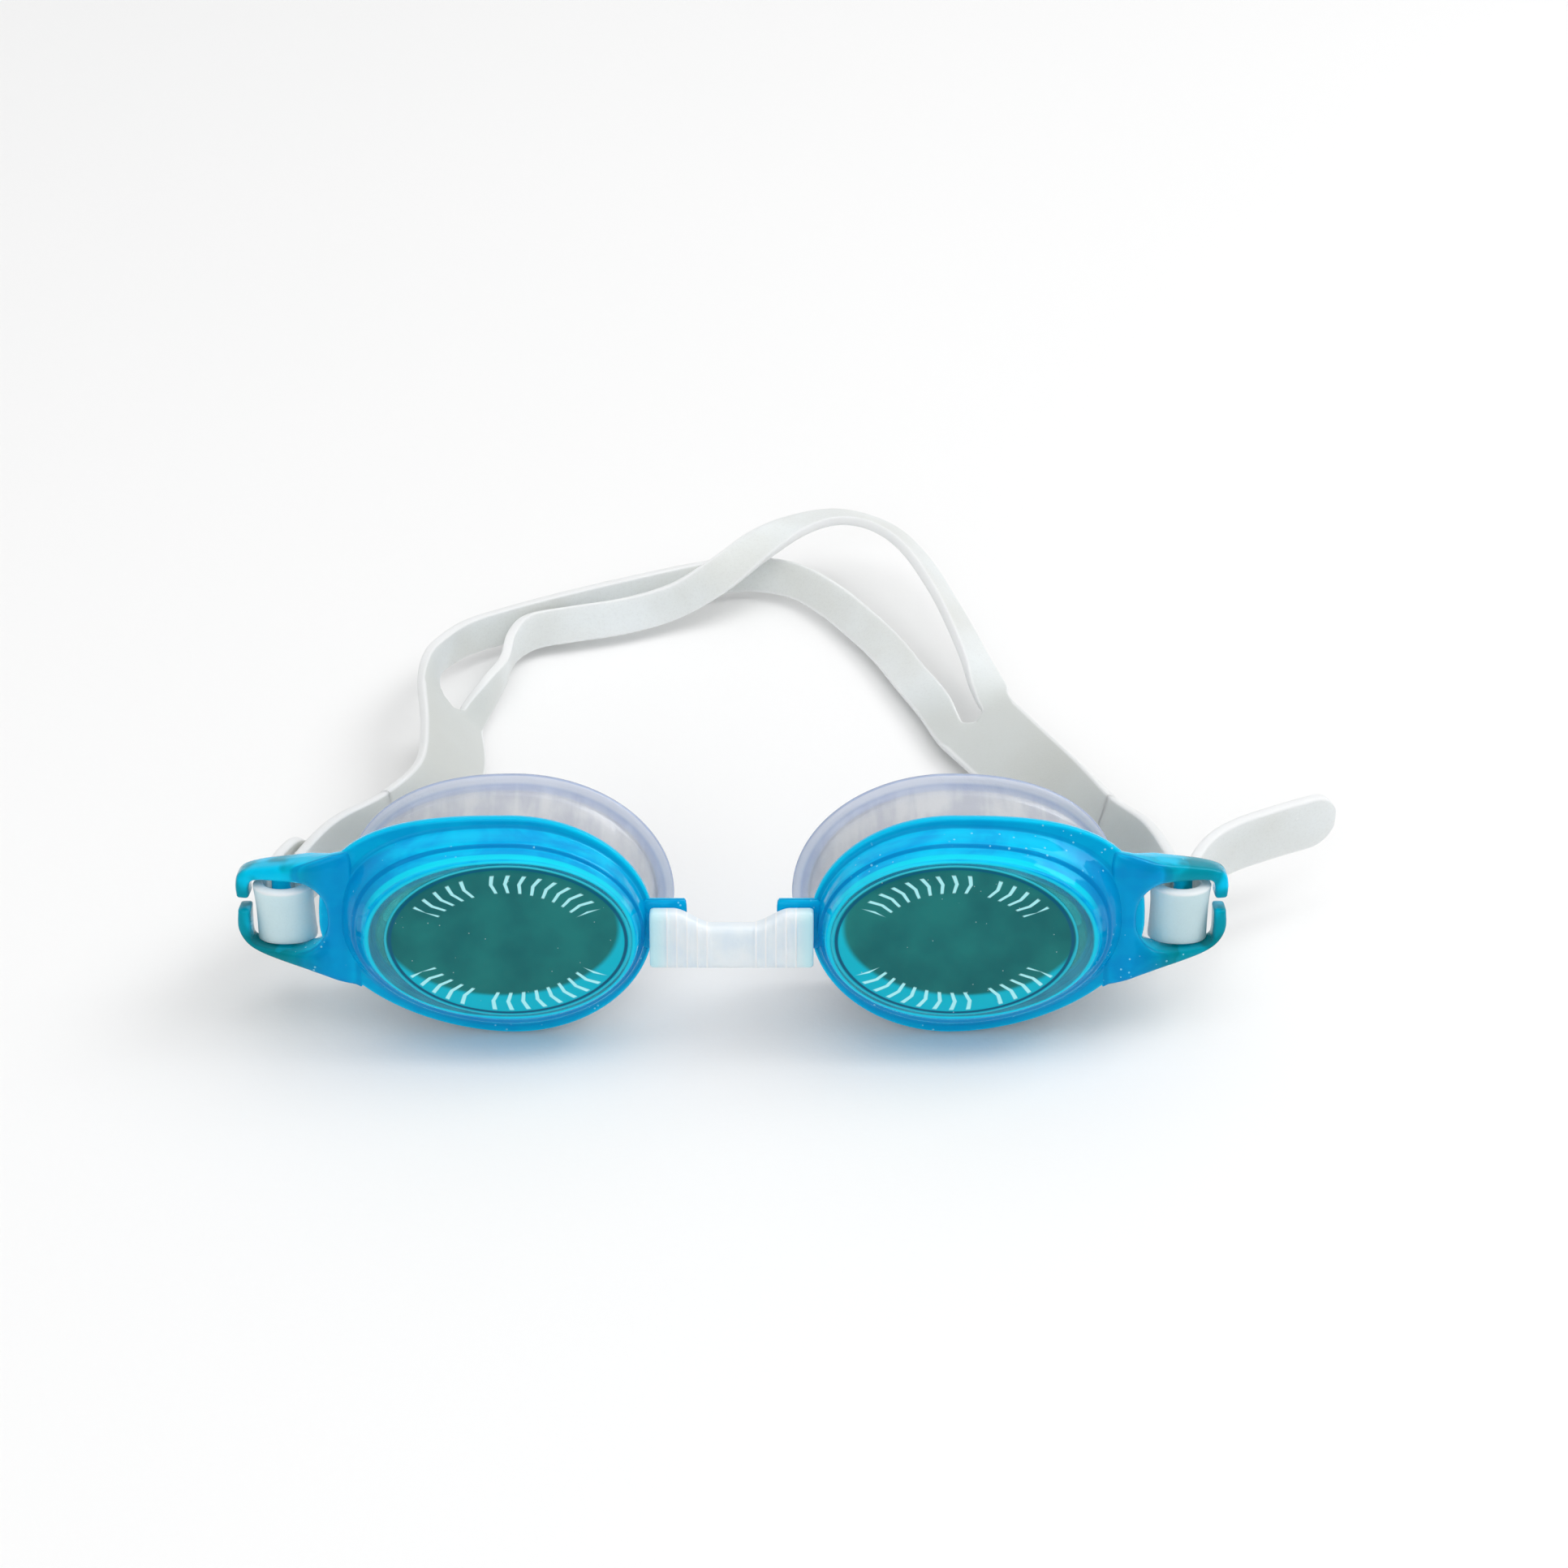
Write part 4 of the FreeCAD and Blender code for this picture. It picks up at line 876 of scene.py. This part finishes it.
# Painted shade: the wide arms are painted a darker grey than the thin bands. Painted light: the loops are painted
# cyan for the light that reaches them through the clear forks round them.
arm_shade = strap_y.step(16.0, 30.0) * (1.0 - strap_y.step(82.0, 100.0)) * (1.0 - abs(strap_x).step(68.0, 73.0))
strap_colour = strap_finish.mix(arm_shade * 0.75, strap_colour, (0.60, 0.62, 0.60))
loop_fork_light = abs(strap_x).band(70.5, 4.0, 2.0) * (1.0 - strap_y.step(8.5, 13.0))
strap_colour = strap_finish.mix(loop_fork_light * 0.5, strap_colour, (0.50, 0.88, 1.0))
strap_side = strap_finish.node("ShaderNodeAttribute", {"attribute_name": "strap_across"}, None, 2)
# Painted highlight: both edges of the strap are painted lighter.
strap_colour = strap_finish.mix(abs(strap_side - 0.5).step(0.44, 0.49) * 0.7, strap_colour, (0.96, 0.98, 0.99))
strap_material = strap_finish.wear(
    Base_Color=strap_colour,
    Roughness=0.36 + 0.18 * strap_cloud,
    Normal=strap_finish.bump(strap_grain * 0.8 + flecks * 0.5, 0.00008, 0.7),
)


# The right arm's stations are given from the post back, so they are turned round, and their lean with them.
right_arm_back = [(*station[:4], -station[4]) for station in RIGHT_ARM[::-1]]


def end_sheet(stations):
    """A whole strap end from the split to its tail's tip, as a grid of points."""
    lower, upper = strap_edges(smooth_path(stations, ARM_SPANS))
    return strap_sheet(*rounded_tail(lower, upper, TAIL_ROUND), ARM_COLUMNS)


right_sheet = end_sheet(right_arm_back + post_turn(1) + RIGHT_TAIL)
left_sheet = end_sheet(LEFT_ARM + post_turn(-1) + LEFT_TAIL)


def leave_arm(rows, half, which):
    """How one edge of a band goes on from an arm: the arm's line that it follows, the point where it starts,
    and the point before that, which sets its direction. An outer edge follows the arm's own edge. An inner
    edge follows the arm's middle and starts half the slot's width beside it."""
    outer, inner = rows[:, ARM_EDGE * half], rows[:, ARM_CENTRE]
    line = outer if which == half else inner
    start = line[-1] if which == half else inner[-1] + (outer[-1] - inner[-1]) * (SLOT_HALF / (WIDE / 2))
    return line, start, line[-1 - ARM_SPANS] + (start - line[-1])


def band_sheet(stations, right_half, left_half):
    """One band from cut to cut: its two edges are followed separately and joined straight across. A half is
    0 for the lower half of an arm and 1 for the upper one."""
    edges = strap_edges(np.insert(np.array(stations, float), 3, BAND, axis=1))
    right_rows, left_rows = right_sheet[CUT_ROW::-1], left_sheet[CUT_ROW::-1]
    rows = []
    for which in (0, 1):
        right_line, start, before_start = leave_arm(right_rows, right_half, which)
        left_line, finish, after_finish = leave_arm(left_rows, left_half, which)
        path = np.concatenate([[before_start], [start], edges[which], [finish], [after_finish]])
        dense = smooth_path(path, BAND_SPANS)[BAND_SPANS:-BAND_SPANS]
        row = np.concatenate([right_line[:-1], dense, left_line[:-1][::-1]])
        split_right, split_left = len(right_line) - 1, len(row) - len(left_line)
        # At the splits themselves the two bands share the arm's middle point.
        if which != right_half:
            row[split_right] = right_rows[-1, ARM_CENTRE]
        if which != left_half:
            row[split_left] = left_rows[-1, ARM_CENTRE]
        rows.append(row)
    # In the arms the two bands are halves of one strap, so only their outer edges count as edges there.
    side = np.tile(strap_shares(BAND_COLUMNS), (len(row), 1))
    side[:split_right] = (side[:split_right] + right_half) / 2
    side[split_left:] = (side[split_left:] + left_half) / 2
    return strap_sheet(*rows, BAND_COLUMNS), side


low_band = band_sheet(BAND_LOW, 0, 1)
high_band = band_sheet(BAND_HIGH, 1, 0)


def cut_at(sheet, row):
    """Middle and run of a sheet at one row, for the cut between two pieces."""
    along = sheet[row + 1, ARM_CENTRE] - sheet[row - 1, ARM_CENTRE]
    return sheet[row, ARM_CENTRE], along / np.linalg.norm(along)


right_cut, left_cut = cut_at(right_sheet, CUT_ROW), cut_at(left_sheet, CUT_ROW)
rear = strap_piece("strap_bands", [low_band, high_band], strap_material, [right_cut, left_cut])
end_shares = strap_shares(ARM_COLUMNS)
right_end = strap_piece("right_strap_end", [(right_sheet[CUT_ROW:], end_shares)], strap_material, [right_cut])
left_end = strap_piece("left_strap_end", [(left_sheet[CUT_ROW:], end_shares)], strap_material, [left_cut])


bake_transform(right_end)
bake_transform(left_end)
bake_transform(rear)
for piece in (rear, right_end, left_end):
    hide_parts("head_strap")
